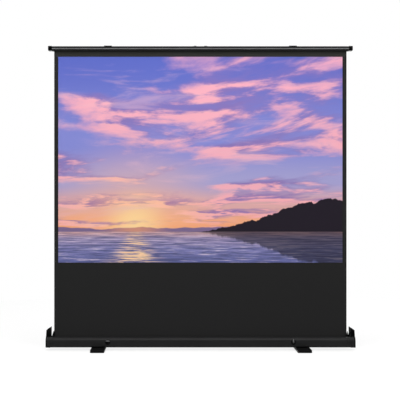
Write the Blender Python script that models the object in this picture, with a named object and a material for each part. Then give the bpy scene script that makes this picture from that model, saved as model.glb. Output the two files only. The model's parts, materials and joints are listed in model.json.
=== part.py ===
"""Floor-standing pull-up projector screen, modelled raised and ready for use.

A sprung roller in a long floor housing holds the sheet. A two-stage scissor of four arms stands
behind the sheet and carries the top bar. Frame: X along the housing, -Y towards the viewers,
+Z up, origin on the floor under the middle of the housing. All lengths are in metres.
"""

import math

import bmesh
import bpy
from mathutils import Matrix, Vector

# Driving sizes of the sheet: the picture area and the black masking round it
PICTURE_WIDTH = 2.032
PICTURE_HEIGHT = 1.471
SIDE_BORDER = 0.029
TOP_BORDER = 0.043
BOTTOM_DROP = 0.530
SHEET_THICKNESS = 0.0008

# Driving sizes of the housing, an extruded trough with a rounded front and an open top
END_ROOM = 0.057
HOUSING_DEPTH = 0.096
HOUSING_HEIGHT = 0.072
HOUSING_WALL = 0.002
FRONT_RADIUS = 0.034
LOWER_RADIUS = 0.012
REAR_RADIUS = 0.003
FRONT_LIP = 0.002

# Driving sizes of the top bar, which is also the lid
BAR_HEIGHT = 0.031
BAR_DEPTH = 0.062
BAR_OVERHANG = 0.015
BAR_WALL = 0.002

# Driving sizes of the scissor
RAISED_DEGREES = 57.65
SLIDE_END_ROOM = 0.1449
ARM_HEIGHT = 0.022
ARM_THICKNESS = 0.011
ARM_GAP = 0.004

# Gaps and overruns that the whole part shares
TOUCH = 0.0003
RUN_GAP = 0.00015
CLOSED_GAP = 0.0005
OVERRUN = 0.004
WELD = 0.000001
ROUND_SIDES = 20
ARC_STEPS = 8
SPRING_POINTS = 8

# Feet: a rubber sole, a pressed steel tray and a nylon washer under the housing
SOLE_THICKNESS = 0.003
FOOT_HEIGHT = 0.0162
FOOT_LENGTH = 0.360
FOOT_WIDTH = 0.100
FOOT_SETBACK = 0.374
WASHER_THICKNESS = 0.0016

# Lengths that follow from the sheet
SHEET_WIDTH = PICTURE_WIDTH + 2 * SIDE_BORDER
OVERALL_LENGTH = SHEET_WIDTH + 2 * END_ROOM
BAR_LENGTH = SHEET_WIDTH + 2 * BAR_OVERHANG
FOOT_OFFSET = OVERALL_LENGTH / 2 - FOOT_SETBACK

# Heights that follow from the stack
FOOT_BOTTOM = SOLE_THICKNESS + TOUCH
FOOT_TOP = FOOT_BOTTOM + FOOT_HEIGHT
HOUSING_BOTTOM = FOOT_TOP + WASHER_THICKNESS + 2 * TOUCH
FLOOR_INSIDE = HOUSING_BOTTOM + HOUSING_WALL
HOUSING_TOP = HOUSING_BOTTOM + HOUSING_HEIGHT
BAR_BOTTOM = HOUSING_TOP + BOTTOM_DROP + PICTURE_HEIGHT + TOP_BORDER
BAR_TOP = BAR_BOTTOM + BAR_HEIGHT
BAR_INSIDE = BAR_TOP - BAR_WALL

# Places across the depth that follow from the housing
FRONT_FACE = -HOUSING_DEPTH / 2
REAR_FACE = HOUSING_DEPTH / 2
ARC_Y = FRONT_FACE + FRONT_RADIUS
ARC_Z = HOUSING_TOP - FRONT_RADIUS
BAR_FRONT = ARC_Y - FRONT_LIP
BAR_REAR = BAR_FRONT + BAR_DEPTH

# Roller and the turns of sheet that stay on it
ROLLER_SETBACK = 0.030
ROLLER_HEIGHT = 0.030
ROLLER_RADIUS = 0.018
ROLLER_WALL = 0.002
ROLLER_OVERHANG = 0.005
ROLL_BUILD = 0.0016
ROLLER_SIDES = 24

ROLLER_END = SHEET_WIDTH / 2 + ROLLER_OVERHANG
ROLLER_Y = FRONT_FACE + ROLLER_SETBACK
ROLLER_Z = HOUSING_BOTTOM + ROLLER_HEIGHT
ROLL_INSIDE = ROLLER_RADIUS + TOUCH
ROLL_OUTSIDE = ROLL_INSIDE + ROLL_BUILD
SHEET_FRONT = ROLLER_Y + ROLL_OUTSIDE + TOUCH
SHEET_REAR = SHEET_FRONT + SHEET_THICKNESS

# Scissor: its length follows from the raised angle, and its place from where the folded slides end
FRONT_ARM_Y = 0.012
LOWER_PIVOT_HEIGHT = 0.018
UPPER_PIVOT_HEIGHT = 0.014

FRONT_ARM_BACK = FRONT_ARM_Y + ARM_THICKNESS
REAR_ARM_Y = FRONT_ARM_BACK + ARM_GAP
REAR_ARM_BACK = REAR_ARM_Y + ARM_THICKNESS
BASE_PIVOT_Z = HOUSING_BOTTOM + LOWER_PIVOT_HEIGHT
TOP_PIVOT_Z = BAR_BOTTOM + UPPER_PIVOT_HEIGHT
MIDDLE_Z = (BASE_PIVOT_Z + TOP_PIVOT_Z) / 2
RAISED_ANGLE = math.radians(RAISED_DEGREES)
ARM_LENGTH = (TOP_PIVOT_Z - BASE_PIVOT_Z) / (2 * math.sin(RAISED_ANGLE))
FOLDED_RISE = HOUSING_TOP + CLOSED_GAP + UPPER_PIVOT_HEIGHT - BASE_PIVOT_Z
FOLDED_ANGLE = math.asin(FOLDED_RISE / (2 * ARM_LENGTH))
FOLDED_RIGHT_X = BAR_LENGTH / 2 - SLIDE_END_ROOM
LEFT_X = FOLDED_RIGHT_X - ARM_LENGTH * math.cos(FOLDED_ANGLE)
RIGHT_X = LEFT_X + ARM_LENGTH * math.cos(RAISED_ANGLE)
CENTRE_X = (LEFT_X + RIGHT_X) / 2
ARM_RADIUS = ARM_HEIGHT / 2

# Pivot pins of the scissor, whose heads pass the rear lip of the housing as it folds
PIN_RADIUS = 0.004
PIN_HEAD_RADIUS = 0.007
PIN_HEAD = 0.0024
MOUTH_CLEARANCE = 0.0008

REAR_LIP_Y = REAR_ARM_BACK + TOUCH + PIN_HEAD + MOUTH_CLEARANCE


# Building blocks

def clear_scene():
    """Removes whatever the file opened with."""
    for thing in list(bpy.data.objects):
        bpy.data.objects.remove(thing)


def finish(name, colour, roughness, metallic=0.0):
    """A plain Principled material."""
    made = bpy.data.materials.new(name)
    made.use_nodes = True
    shader = made.node_tree.nodes["Principled BSDF"]
    shader.inputs["Base Color"].default_value = (*colour, 1)
    shader.inputs["Roughness"].default_value = roughness
    shader.inputs["Metallic"].default_value = metallic
    return made


def arc(centre, radius, start, end, steps=ARC_STEPS):
    """Points along an arc between two angles in degrees, both ends kept."""
    turns = [math.radians(start + (end - start) * i / steps) for i in range(steps + 1)]
    return [(centre[0] + radius * math.cos(t), centre[1] + radius * math.sin(t)) for t in turns]


def circle(centre, radius, sides=ROUND_SIDES):
    """Points round a full circle."""
    return arc(centre, radius, 0, 360, sides)[:-1]


def rectangle(low, high):
    """The four corners between two opposite ones."""
    return [low, (high[0], low[1]), high, (low[0], high[1])]


def rounded_rectangle(low, high, radius, steps=3):
    """A rectangle whose corners are quarter circles."""
    near, far = (low[0] + radius, low[1] + radius), (high[0] - radius, high[1] - radius)
    return (
        arc(near, radius, 180, 270, steps)
        + arc((far[0], near[1]), radius, 270, 360, steps)
        + arc(far, radius, 0, 90, steps)
        + arc((near[0], far[1]), radius, 90, 180, steps)
    )


def stadium(centre, half_length, radius, steps=ARC_STEPS):
    """A bar with half-round ends, along the first of its two directions."""
    right = arc((centre[0] + half_length, centre[1]), radius, -90, 90, steps)
    left = arc((centre[0] - half_length, centre[1]), radius, 90, 270, steps)
    return right + left


def in_space(axis, first, second, along):
    """A point from two outline coordinates and a distance along the extrusion axis."""
    if axis == "X":
        return Vector((along, first, second))
    if axis == "Y":
        return Vector((first, along, second))
    return Vector((first, second, along))


def prism(outline, axis, low, high):
    """An outline extruded along an axis."""
    shape = bmesh.new()
    ring = [shape.verts.new(in_space(axis, u, v, low)) for u, v in outline]
    face = shape.faces.new(ring)
    grown = bmesh.ops.extrude_face_region(shape, geom=[face])["geom"]
    moved = [item for item in grown if isinstance(item, bmesh.types.BMVert)]
    bmesh.ops.translate(shape, verts=moved, vec=in_space(axis, 0, 0, high - low))
    bmesh.ops.recalc_face_normals(shape, faces=shape.faces)
    return shape


def box(low, high):
    """A block between two opposite corners."""
    return prism(rectangle(low[:2], high[:2]), "Z", low[2], high[2])


def turned(profile, centre, direction, sides=ROUND_SIDES):
    """A profile of (along, radius) points turned about a line through centre."""
    shape = bmesh.new()
    points = [shape.verts.new((radius, 0, along)) for along, radius in profile]
    pairs = list(zip(points, points[1:]))
    if profile[0][1] > 0:
        pairs.append((points[-1], points[0]))
    edges = [shape.edges.new(pair) for pair in pairs]
    bmesh.ops.spin(
        shape, geom=points + edges, cent=(0, 0, 0), axis=(0, 0, 1),
        angle=math.tau, steps=sides, use_merge=True,
    )
    bmesh.ops.remove_doubles(shape, verts=shape.verts, dist=WELD)
    bmesh.ops.recalc_face_normals(shape, faces=shape.faces)
    aim = Vector(direction).to_track_quat("Z", "Y").to_matrix().to_4x4()
    bmesh.ops.transform(shape, matrix=Matrix.Translation(centre) @ aim, verts=shape.verts)
    return shape


def to_object(name, shape, material=None):
    """A linked object that holds a bmesh, in world coordinates."""
    mesh = bpy.data.meshes.new(name)
    shape.to_mesh(mesh)
    shape.free()
    thing = bpy.data.objects.new(name, mesh)
    bpy.context.scene.collection.objects.link(thing)
    if material:
        mesh.materials.append(material)
    return thing


def combine(body, shape, operation):
    """Joins a bmesh to an object, or cuts it away, by an exact Boolean."""
    tool = to_object("tool", shape)
    step = body.modifiers.new("step", "BOOLEAN")
    step.solver = "EXACT"
    step.operation = operation
    step.object = tool
    bpy.context.view_layer.update()
    graph = bpy.context.evaluated_depsgraph_get()
    result = bpy.data.meshes.new_from_object(body.evaluated_get(graph))
    body.modifiers.clear()
    body.data = result
    bpy.data.objects.remove(tool)


def cut(body, shape):
    combine(body, shape, "DIFFERENCE")


def join(body, shape):
    combine(body, shape, "UNION")


def seat(thing, origin, parent=None):
    """Puts an object's origin at a point, with its mesh left where it was."""
    thing.data.transform(Matrix.Translation(-Vector(origin)))
    thing.location = origin
    if parent:
        hang(thing, parent)
    for face in thing.data.polygons:
        face.use_smooth = True
    thing.data.set_sharp_from_angle(angle=math.radians(30))


def hang(thing, parent):
    """Parents an object while its location stays in world coordinates."""
    thing.parent = parent
    thing.matrix_parent_inverse = Matrix.Translation(-Vector(parent.location))


def pivot(name, origin):
    """An empty on a joint's axis, which carries the pieces that move with it."""
    empty = bpy.data.objects.new(name, None)
    bpy.context.scene.collection.objects.link(empty)
    empty.location = origin
    return empty


def part(name, shape, material, origin, parent=None):
    """A finished piece from one bmesh."""
    thing = to_object(name, shape, material)
    seat(thing, origin, parent)
    return thing


def spring(name, centre_line, axis, radius, wire, curls, material, parent=None):
    """A coil of round wire along a straight line, as one open tube, and the gap between its curls."""
    start, end = (Vector(point) for point in centre_line)
    across = Vector((0, 0, 1))
    other = Vector(axis).cross(across)
    count = SPRING_POINTS * curls
    curve = bpy.data.curves.new(name, "CURVE")
    curve.dimensions = "3D"
    curve.bevel_depth = wire
    curve.bevel_resolution = 1
    curve.use_fill_caps = True
    line = curve.splines.new("POLY")
    line.points.add(count)
    points = []
    for i in range(count + 1):
        turn = math.tau * i / SPRING_POINTS
        spoke = radius * (math.cos(turn) * across + math.sin(turn) * other)
        points.append(start.lerp(end, i / count) + spoke)
        line.points[i].co = (*points[-1], 1)
    thing = bpy.data.objects.new(name, curve)
    bpy.context.scene.collection.objects.link(thing)
    curve.materials.append(material)
    if parent:
        hang(thing, parent)
    apart = min(
        (points[i] - points[j]).length
        for i in range(len(points))
        for j in range(i + SPRING_POINTS // 2, len(points))
    )
    print(name, "least gap between curls", round((apart - 2 * wire) * 1000, 2), "mm")


clear_scene()

SATIN_BLACK = finish("satin_black_aluminium", (0.030, 0.030, 0.032), 0.38, 0.2)
CAP_BLACK = finish("black_cap_plastic", (0.012, 0.012, 0.012), 0.42)
FOOT_BLACK = finish("black_foot_steel", (0.018, 0.018, 0.019), 0.5, 0.1)
RUBBER = finish("black_rubber", (0.015, 0.015, 0.015), 0.85)
NYLON = finish("grey_nylon", (0.25, 0.25, 0.24), 0.5)
ALUMINIUM = finish("satin_aluminium", (0.62, 0.63, 0.64), 0.38, 1.0)
ZINC = finish("zinc_plated_steel", (0.55, 0.55, 0.53), 0.35, 1.0)
SPRING_STEEL = finish("spring_steel", (0.22, 0.22, 0.23), 0.4, 1.0)
CLOTH = finish("screen_cloth", (0.034, 0.034, 0.034), 0.8)

SIDES = {"left": -1, "right": 1}


# Housing: one extruded trough, with a lip along each edge of its open top and a bolt hole at each foot

CAP_PLATE = 0.0047
BOLT_RADIUS = 0.003
HOUSING_END = OVERALL_LENGTH / 2 - CAP_PLATE - TOUCH


def housing_path(inset):
    """The section from the front lip round the bottom to the rear lip, a distance inside the outer face."""
    rear_y, rear_low = REAR_FACE - REAR_RADIUS, HOUSING_BOTTOM + REAR_RADIUS
    rear_high = HOUSING_TOP - REAR_RADIUS
    low = (FRONT_FACE + LOWER_RADIUS, HOUSING_BOTTOM + LOWER_RADIUS)
    return (
        [(ARC_Y + FRONT_LIP, HOUSING_TOP - inset)]
        + arc((ARC_Y, ARC_Z), FRONT_RADIUS - inset, 90, 180)
        + arc(low, LOWER_RADIUS - inset, 180, 270, 4)
        + arc((rear_y, rear_low), REAR_RADIUS - inset, 270, 360, 2)
        + arc((rear_y, rear_high), REAR_RADIUS - inset, 0, 90, 2)
        + [(REAR_LIP_Y, HOUSING_TOP - inset)]
    )


def make_housing():
    section = housing_path(0) + housing_path(HOUSING_WALL)[::-1]
    housing = to_object("housing", prism(section, "X", -HOUSING_END, HOUSING_END), SATIN_BLACK)
    for side in SIDES.values():
        hole = circle((side * FOOT_OFFSET, 0), BOLT_RADIUS + TOUCH)
        cut(housing, prism(hole, "Z", HOUSING_BOTTOM - OVERRUN, FLOOR_INSIDE + OVERRUN))
    seat(housing, (0, 0, HOUSING_BOTTOM))


make_housing()


# End caps: a moulded cup over each end of the housing, with a fork that the end of the top bar drops into

CAP_SKIN = 0.0015
CAP_REACH = 0.056
CAP_SLANT = 0.026
PRONG_THICKNESS = 0.003
PRONG_CLEARANCE = 0.002
HORN_WIDTH = 0.035
HORN_HEIGHT = 0.070
HORN_SHOULDER = 0.050
HORN_TAPER = 0.0035
GUIDE_HEIGHT = 0.043
GUIDE_BASE = 0.0135
GUIDE_TIP = 0.0025
GUIDE_INSET = 0.0005
WEB_THICKNESS = 0.0035
WEB_HEIGHT = 0.030

CAP_OUTSIDE = TOUCH + CAP_SKIN
CAP_START = OVERALL_LENGTH / 2 - CAP_REACH


def fork_outlines(side):
    """The horn and the inner guide of one prong, seen from the front."""
    outer, base = OVERALL_LENGTH / 2, HOUSING_TOP + TOUCH
    horn = [
        (outer - HORN_WIDTH, base),
        (outer - WEB_THICKNESS, base),
        (outer - WEB_THICKNESS, HOUSING_TOP),
        (outer, HOUSING_TOP),
        (outer - HORN_TAPER, HOUSING_TOP + HORN_SHOULDER),
        (outer - HORN_WIDTH, HOUSING_TOP + HORN_HEIGHT),
    ]
    guide_x = CAP_START + GUIDE_INSET
    guide = [
        (guide_x, base),
        (guide_x + GUIDE_BASE, base),
        (guide_x + GUIDE_TIP, HOUSING_TOP + GUIDE_HEIGHT),
        (guide_x, HOUSING_TOP + GUIDE_HEIGHT),
    ]
    return [[(side * x, z) for x, z in outline] for outline in (horn, guide)]


def make_end_cap(name, side):
    outer, inner = OVERALL_LENGTH / 2, HOUSING_END + TOUCH
    start = CAP_START
    cup = prism(housing_path(-CAP_OUTSIDE), "X", side * start, side * outer)
    cap = to_object(name, cup, CAP_BLACK)
    # The cup is hollow up to its end plate, and open above the mouth of the housing
    cut(cap, prism(housing_path(-TOUCH), "X", side * (start - OVERRUN), side * inner))
    mouth_low = (side * (start - OVERRUN), BAR_FRONT - PRONG_CLEARANCE, HOUSING_TOP - CAP_SKIN)
    mouth_high = (side * inner, BAR_REAR + TOUCH, HOUSING_TOP + OVERRUN)
    cut(cap, box(mouth_low, mouth_high))
    # The inner edge of the skin leans outwards towards the floor
    slant = [
        (side * (start - OVERRUN), HOUSING_TOP),
        (side * start, HOUSING_TOP),
        (side * (start + CAP_SLANT), HOUSING_BOTTOM - OVERRUN),
        (side * (start - OVERRUN), HOUSING_BOTTOM - OVERRUN),
    ]
    cut(cap, prism(slant, "Y", FRONT_FACE - OVERRUN, REAR_FACE + OVERRUN))
    front_low = BAR_FRONT - PRONG_CLEARANCE - PRONG_THICKNESS
    rear_high = REAR_FACE + CAP_OUTSIDE
    for outline in fork_outlines(side):
        join(cap, prism(outline, "Y", front_low, front_low + PRONG_THICKNESS))
        join(cap, prism(outline, "Y", rear_high - PRONG_THICKNESS, rear_high))
    web_low = (side * (outer - WEB_THICKNESS), front_low, HOUSING_TOP - CAP_SKIN)
    web_high = (side * (outer - HORN_TAPER / 2), rear_high, HOUSING_TOP + WEB_HEIGHT)
    join(cap, box(web_low, web_high))
    seat(cap, (side * inner, 0, HOUSING_BOTTOM))


for word, side in SIDES.items():
    make_end_cap(f"end_cap_{word}", side)


# Feet: each turns a quarter about its bolt, from across the housing to lie along under it

FOOT_CORNER = 0.012
FOOT_EDGE = 0.003
FOOT_SKIN = 0.003
SOLE_INSET = 0.001
BOSS_RADIUS = 0.012
BOSS_DROP = 0.006
BOLT_HEAD_RADIUS = 0.0065
BOLT_HEAD = 0.004
NUT_RADIUS = 0.0058
NUT_HEIGHT = 0.005
BOLT_END = 0.0012
WASHER_RADIUS = 0.014


def foot_outline(x, inset):
    """The plan of a foot, a distance inside its edge."""
    half_width, half_length = FOOT_WIDTH / 2 - inset, FOOT_LENGTH / 2 - inset
    corner = FOOT_CORNER - inset
    return rounded_rectangle((x - half_width, -half_length), (x + half_width, half_length), corner)


def make_foot(word, side):
    x = side * FOOT_OFFSET
    swivel = pivot(f"foot_{word}_swivel", (x, 0, HOUSING_BOTTOM))
    tray = prism(foot_outline(x, 0), "Z", FOOT_BOTTOM, FOOT_TOP)
    rim = [e for e in tray.edges if all(abs(v.co.z - FOOT_TOP) < WELD for v in e.verts)]
    bmesh.ops.bevel(
        tray, geom=rim, offset=FOOT_EDGE, segments=2, profile=0.5, affect="EDGES", material=-1
    )
    foot = to_object(f"foot_{word}", tray, FOOT_BLACK)
    inside = FOOT_TOP - FOOT_SKIN
    cut(foot, prism(foot_outline(x, FOOT_SKIN), "Z", FOOT_BOTTOM - OVERRUN, inside))
    join(foot, prism(circle((x, 0), BOSS_RADIUS), "Z", inside - BOSS_DROP, FOOT_TOP - WELD))
    cut(foot, prism(circle((x, 0), BOLT_RADIUS + RUN_GAP), "Z", FOOT_BOTTOM, FOOT_TOP + OVERRUN))
    seat(foot, swivel.location, swivel)
    sole = prism(foot_outline(x, SOLE_INSET), "Z", 0, SOLE_THICKNESS)
    part(f"foot_sole_{word}", sole, RUBBER, swivel.location, swivel)
    ring = [
        (0, BOLT_RADIUS + TOUCH), (0, WASHER_RADIUS),
        (WASHER_THICKNESS, WASHER_RADIUS), (WASHER_THICKNESS, BOLT_RADIUS + TOUCH),
    ]
    under = (x, 0, FOOT_TOP + TOUCH)
    part(f"foot_washer_{word}", turned(ring, under, (0, 0, 1)), NYLON, under)
    # The bolt hangs from a nut on the housing's floor and holds the foot's boss on its head
    head_top = inside - BOSS_DROP - TOUCH - FLOOR_INSIDE
    nut_top = TOUCH + NUT_HEIGHT
    bolt = [
        (head_top - BOLT_HEAD, 0), (head_top - BOLT_HEAD, BOLT_HEAD_RADIUS),
        (head_top, BOLT_HEAD_RADIUS), (head_top, BOLT_RADIUS),
        (TOUCH, BOLT_RADIUS), (TOUCH, NUT_RADIUS),
        (nut_top, NUT_RADIUS), (nut_top, BOLT_RADIUS),
        (nut_top + BOLT_END, BOLT_RADIUS), (nut_top + BOLT_END, 0),
    ]
    floor = (x, 0, FLOOR_INSIDE)
    part(f"foot_bolt_{word}", turned(bolt, floor, (0, 0, 1)), ZINC, floor)


for word, side in SIDES.items():
    make_foot(word, side)


# Roller: a tube with a plug in each end, on a pin at the left and on a fixed spring spindle at the right

FLANGE_RADIUS = 0.0178
FLANGE_THICKNESS = 0.003
SPIGOT_LENGTH = 0.020
GUDGEON_RADIUS = 0.004
SPINDLE_RADIUS = 0.006
SPINDLE_LENGTH = 0.340
COLLAR_RADIUS = 0.012
COLLAR_THICKNESS = 0.012
BRACKET_GAP = 0.003
BRACKET_PLATE = 0.003
BRACKET_RADIUS = 0.014
BRACKET_FOOT = 0.016
STUB_LENGTH = 0.007
STUB_HEAD = 0.008
ROLL_SPRING_RADIUS = 0.010
ROLL_SPRING_WIRE = 0.001
ROLL_SPRING_CURLS = 14

FLANGE_END = ROLLER_END + TOUCH + FLANGE_THICKNESS
BRACKET_START = FLANGE_END + BRACKET_GAP
BRACKET_END = BRACKET_START + BRACKET_PLATE
SPIGOT_RADIUS = ROLLER_RADIUS - ROLLER_WALL - TOUCH
ROLLER_AXIS = (0, ROLLER_Y, ROLLER_Z)


def sleeve(inner, outer, half_length):
    """The profile of a tube about the roller's axis."""
    return [(-half_length, inner), (-half_length, outer), (half_length, outer), (half_length, inner)]


def make_roller():
    spin = pivot("roller_spin", ROLLER_AXIS)
    tube = sleeve(ROLLER_RADIUS - ROLLER_WALL, ROLLER_RADIUS, ROLLER_END)
    shape = turned(tube, ROLLER_AXIS, (1, 0, 0), ROLLER_SIDES)
    part("roller_tube", shape, ALUMINIUM, ROLLER_AXIS, spin)
    turns = sleeve(ROLL_INSIDE, ROLL_OUTSIDE, SHEET_WIDTH / 2)
    shape = turned(turns, ROLLER_AXIS, (1, 0, 0), ROLLER_SIDES)
    part("sheet_roll", shape, CLOTH, ROLLER_AXIS, spin)
    face, spigot_end = ROLLER_END + TOUCH, ROLLER_END - SPIGOT_LENGTH
    pin_end = BRACKET_END + STUB_LENGTH
    pin_plug = [
        (spigot_end, 0), (spigot_end, SPIGOT_RADIUS), (face, SPIGOT_RADIUS), (face, FLANGE_RADIUS),
        (FLANGE_END, FLANGE_RADIUS), (FLANGE_END, GUDGEON_RADIUS), (pin_end, GUDGEON_RADIUS), (pin_end, 0),
    ]
    shape = turned(pin_plug, ROLLER_AXIS, (-1, 0, 0), ROLLER_SIDES)
    part("roller_plug_left", shape, NYLON, ROLLER_AXIS, spin)
    bore = SPINDLE_RADIUS + TOUCH
    spring_plug = [
        (spigot_end, bore), (spigot_end, SPIGOT_RADIUS), (face, SPIGOT_RADIUS),
        (face, FLANGE_RADIUS), (FLANGE_END, FLANGE_RADIUS), (FLANGE_END, bore),
    ]
    shape = turned(spring_plug, ROLLER_AXIS, (1, 0, 0), ROLLER_SIDES)
    part("roller_plug_right", shape, NYLON, ROLLER_AXIS, spin)


def make_roller_spring():
    outer, inner = BRACKET_END + STUB_LENGTH, BRACKET_END + STUB_LENGTH - SPINDLE_LENGTH
    collar = inner + COLLAR_THICKNESS
    shoulder = BRACKET_END + TOUCH
    spindle = [
        (inner, 0), (inner, COLLAR_RADIUS), (collar, COLLAR_RADIUS), (collar, SPINDLE_RADIUS),
        (shoulder, SPINDLE_RADIUS), (shoulder, STUB_HEAD), (outer, STUB_HEAD), (outer, 0),
    ]
    part("roller_spindle", turned(spindle, ROLLER_AXIS, (1, 0, 0)), ZINC, ROLLER_AXIS)
    near = collar + TOUCH + ROLL_SPRING_WIRE
    far = ROLLER_END - SPIGOT_LENGTH - TOUCH - ROLL_SPRING_WIRE
    line = ((near, ROLLER_Y, ROLLER_Z), (far, ROLLER_Y, ROLLER_Z))
    sizes = (ROLL_SPRING_RADIUS, ROLL_SPRING_WIRE, ROLL_SPRING_CURLS)
    spring("roller_spring", line, (1, 0, 0), *sizes, SPRING_STEEL)


def make_roller_bracket(word, side, bore):
    """An upright plate with a round head, and a foot turned outwards on the housing's floor."""
    low = FLOOR_INSIDE + TOUCH
    head = arc((ROLLER_Y, ROLLER_Z), BRACKET_RADIUS, 0, 180)
    side_view = [(ROLLER_Y + BRACKET_RADIUS, low)] + head + [(ROLLER_Y - BRACKET_RADIUS, low)]
    plate = prism(side_view, "X", side * BRACKET_START, side * BRACKET_END)
    bracket = to_object(f"roller_bracket_{word}", plate, ZINC)
    foot_low = (side * BRACKET_START, ROLLER_Y - BRACKET_RADIUS, low)
    foot_high = (side * (BRACKET_END + BRACKET_FOOT), ROLLER_Y + BRACKET_RADIUS, low + BRACKET_PLATE)
    join(bracket, box(foot_low, foot_high))
    hole = circle((ROLLER_Y, ROLLER_Z), bore, ROLLER_SIDES)
    cut(bracket, prism(hole, "X", side * (BRACKET_START - OVERRUN), side * (BRACKET_END + OVERRUN)))
    seat(bracket, (side * BRACKET_START, ROLLER_Y, low))


make_roller()
make_roller_spring()
make_roller_bracket("left", -1, GUDGEON_RADIUS + RUN_GAP)
make_roller_bracket("right", 1, SPINDLE_RADIUS + TOUCH)


# Sheet: one flat sheet, from the rear of the roller up into the top bar

SHEET_TUCK = 0.001


def make_sheet():
    low = (-SHEET_WIDTH / 2, SHEET_FRONT, ROLLER_Z)
    high = (SHEET_WIDTH / 2, SHEET_REAR, BAR_INSIDE - SHEET_TUCK)
    part("screen_sheet", box(low, high), CLOTH, (0, SHEET_FRONT, ROLLER_Z))


make_sheet()


# Scissor arms: four equal bars, holed at each end and in the middle, with shallow channels between

CHANNEL_DEPTH = 0.0035
CHANNEL_HEIGHT = 0.012
CHANNEL_END = 0.032
PIVOT_SHARES = (0, 0.5, 1)

BORE = PIN_RADIUS + RUN_GAP


def arm_mesh():
    """One arm along +X from its lower pivot, with its thickness centred on Y."""
    half = ARM_THICKNESS / 2
    outline = stadium((ARM_LENGTH / 2, 0), ARM_LENGTH / 2, ARM_RADIUS)
    arm = to_object("arm", prism(outline, "Y", -half, half), ALUMINIUM)
    for share in PIVOT_SHARES:
        hole = circle((share * ARM_LENGTH, 0), BORE)
        cut(arm, prism(hole, "Y", -half - OVERRUN, half + OVERRUN))
    for start in (0, ARM_LENGTH / 2):
        low = (start + CHANNEL_END, -CHANNEL_HEIGHT / 2)
        high = (start + ARM_LENGTH / 2 - CHANNEL_END, CHANNEL_HEIGHT / 2)
        for face in (-1, 1):
            floor, past = face * (half - CHANNEL_DEPTH), face * (half + OVERRUN)
            cut(arm, prism(rectangle(low, high), "Y", floor, past))
    mesh = arm.data
    bpy.data.objects.remove(arm)
    return mesh


def place_arm(name, mesh, foot, y, lean, parent):
    """One arm from its lower pivot, leaning right (1) or left (-1)."""
    arm = bpy.data.objects.new(name, mesh)
    bpy.context.scene.collection.objects.link(arm)
    arm.location = (foot[0], y + ARM_THICKNESS / 2, foot[1])
    arm.rotation_euler.y = -RAISED_ANGLE if lean > 0 else RAISED_ANGLE - math.pi
    hang(arm, parent)


def make_arms():
    """Each arm stands on its foot and hangs from an empty on its own joint."""
    mesh = arm_mesh()
    left_elbow, right_elbow = (LEFT_X, MIDDLE_Z), (RIGHT_X, MIDDLE_Z)
    crossing = (CENTRE_X, (BASE_PIVOT_Z + MIDDLE_Z) / 2)
    arms = {
        "lower_front_arm": ((LEFT_X, BASE_PIVOT_Z), (LEFT_X, BASE_PIVOT_Z), FRONT_ARM_Y, 1),
        "lower_rear_arm": ((RIGHT_X, BASE_PIVOT_Z), crossing, REAR_ARM_Y, -1),
        "upper_rear_arm": (right_elbow, right_elbow, REAR_ARM_Y, -1),
        "upper_front_arm": (left_elbow, left_elbow, FRONT_ARM_Y, 1),
    }
    made = {}
    for name, (foot, joint, y, lean) in arms.items():
        made[name] = pivot(f"{name}_pivot", (joint[0], y, joint[1]))
        place_arm(name, mesh, foot, y, lean, made[name])
    return made


ARM_PIVOTS = make_arms()
TOP_BAR_PIVOT = pivot("top_bar_pivot", (LEFT_X, REAR_ARM_Y, TOP_PIVOT_Z))
BASE_SLIDER_PIVOT = pivot("base_slider_pivot", (RIGHT_X, REAR_ARM_Y, BASE_PIVOT_Z))
TOP_SLIDER_PIVOT = pivot("top_slider_pivot", (RIGHT_X, FRONT_ARM_Y, TOP_PIVOT_Z))


# Pivot pins and the washers that keep the two planes of arms apart

PIVOT_WASHER_RADIUS = 0.009


def make_pin(name, x, z, low, high, parent=None):
    """A headed pin along Y, its two heads seated on the faces at low and high."""
    front, back = low - TOUCH, high + TOUCH
    profile = [
        (front - PIN_HEAD, 0), (front - PIN_HEAD, PIN_HEAD_RADIUS), (front, PIN_HEAD_RADIUS),
        (front, PIN_RADIUS), (back, PIN_RADIUS), (back, PIN_HEAD_RADIUS),
        (back + PIN_HEAD, PIN_HEAD_RADIUS), (back + PIN_HEAD, 0),
    ]
    part(name, turned(profile, (x, 0, z), (0, 1, 0)), ZINC, (x, low, z), parent)


def make_pivot_washer(name, x, z, parent):
    low, high = FRONT_ARM_BACK + TOUCH, REAR_ARM_Y - TOUCH
    inner = PIN_RADIUS + TOUCH
    profile = [(low, inner), (low, PIVOT_WASHER_RADIUS), (high, PIVOT_WASHER_RADIUS), (high, inner)]
    part(name, turned(profile, (x, 0, z), (0, 1, 0)), NYLON, (x, low, z), parent)


def make_crossings():
    """The four pivots where a front arm and a rear arm meet."""
    lower_centre = (BASE_PIVOT_Z + MIDDLE_Z) / 2
    upper_centre = (MIDDLE_Z + TOP_PIVOT_Z) / 2
    crossings = {
        "lower_centre": (CENTRE_X, lower_centre, "lower_front_arm"),
        "right_elbow": (RIGHT_X, MIDDLE_Z, "lower_front_arm"),
        "left_elbow": (LEFT_X, MIDDLE_Z, "lower_rear_arm"),
        "upper_centre": (CENTRE_X, upper_centre, "upper_rear_arm"),
    }
    for name, (x, z, carrier) in crossings.items():
        make_pin(f"{name}_pin", x, z, FRONT_ARM_Y, REAR_ARM_BACK, ARM_PIVOTS[carrier])
        make_pivot_washer(f"{name}_washer", x, z, ARM_PIVOTS[carrier])


make_crossings()


# Fixed pivot brackets at the left: one on the housing's floor with the lift spring, one under the top bar

CHEEK = 0.002
CHEEK_GAP = 0.0005
CHEEK_RADIUS = 0.009
PLATE_HALF_LENGTH = 0.030
BRACKET_BASE = 0.002
LIFT_SPRING_RADIUS = 0.0068
LIFT_SPRING_WIRE = 0.0012
LIFT_SPRING_CURLS = 3
SPRING_ROOM = 0.014


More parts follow.
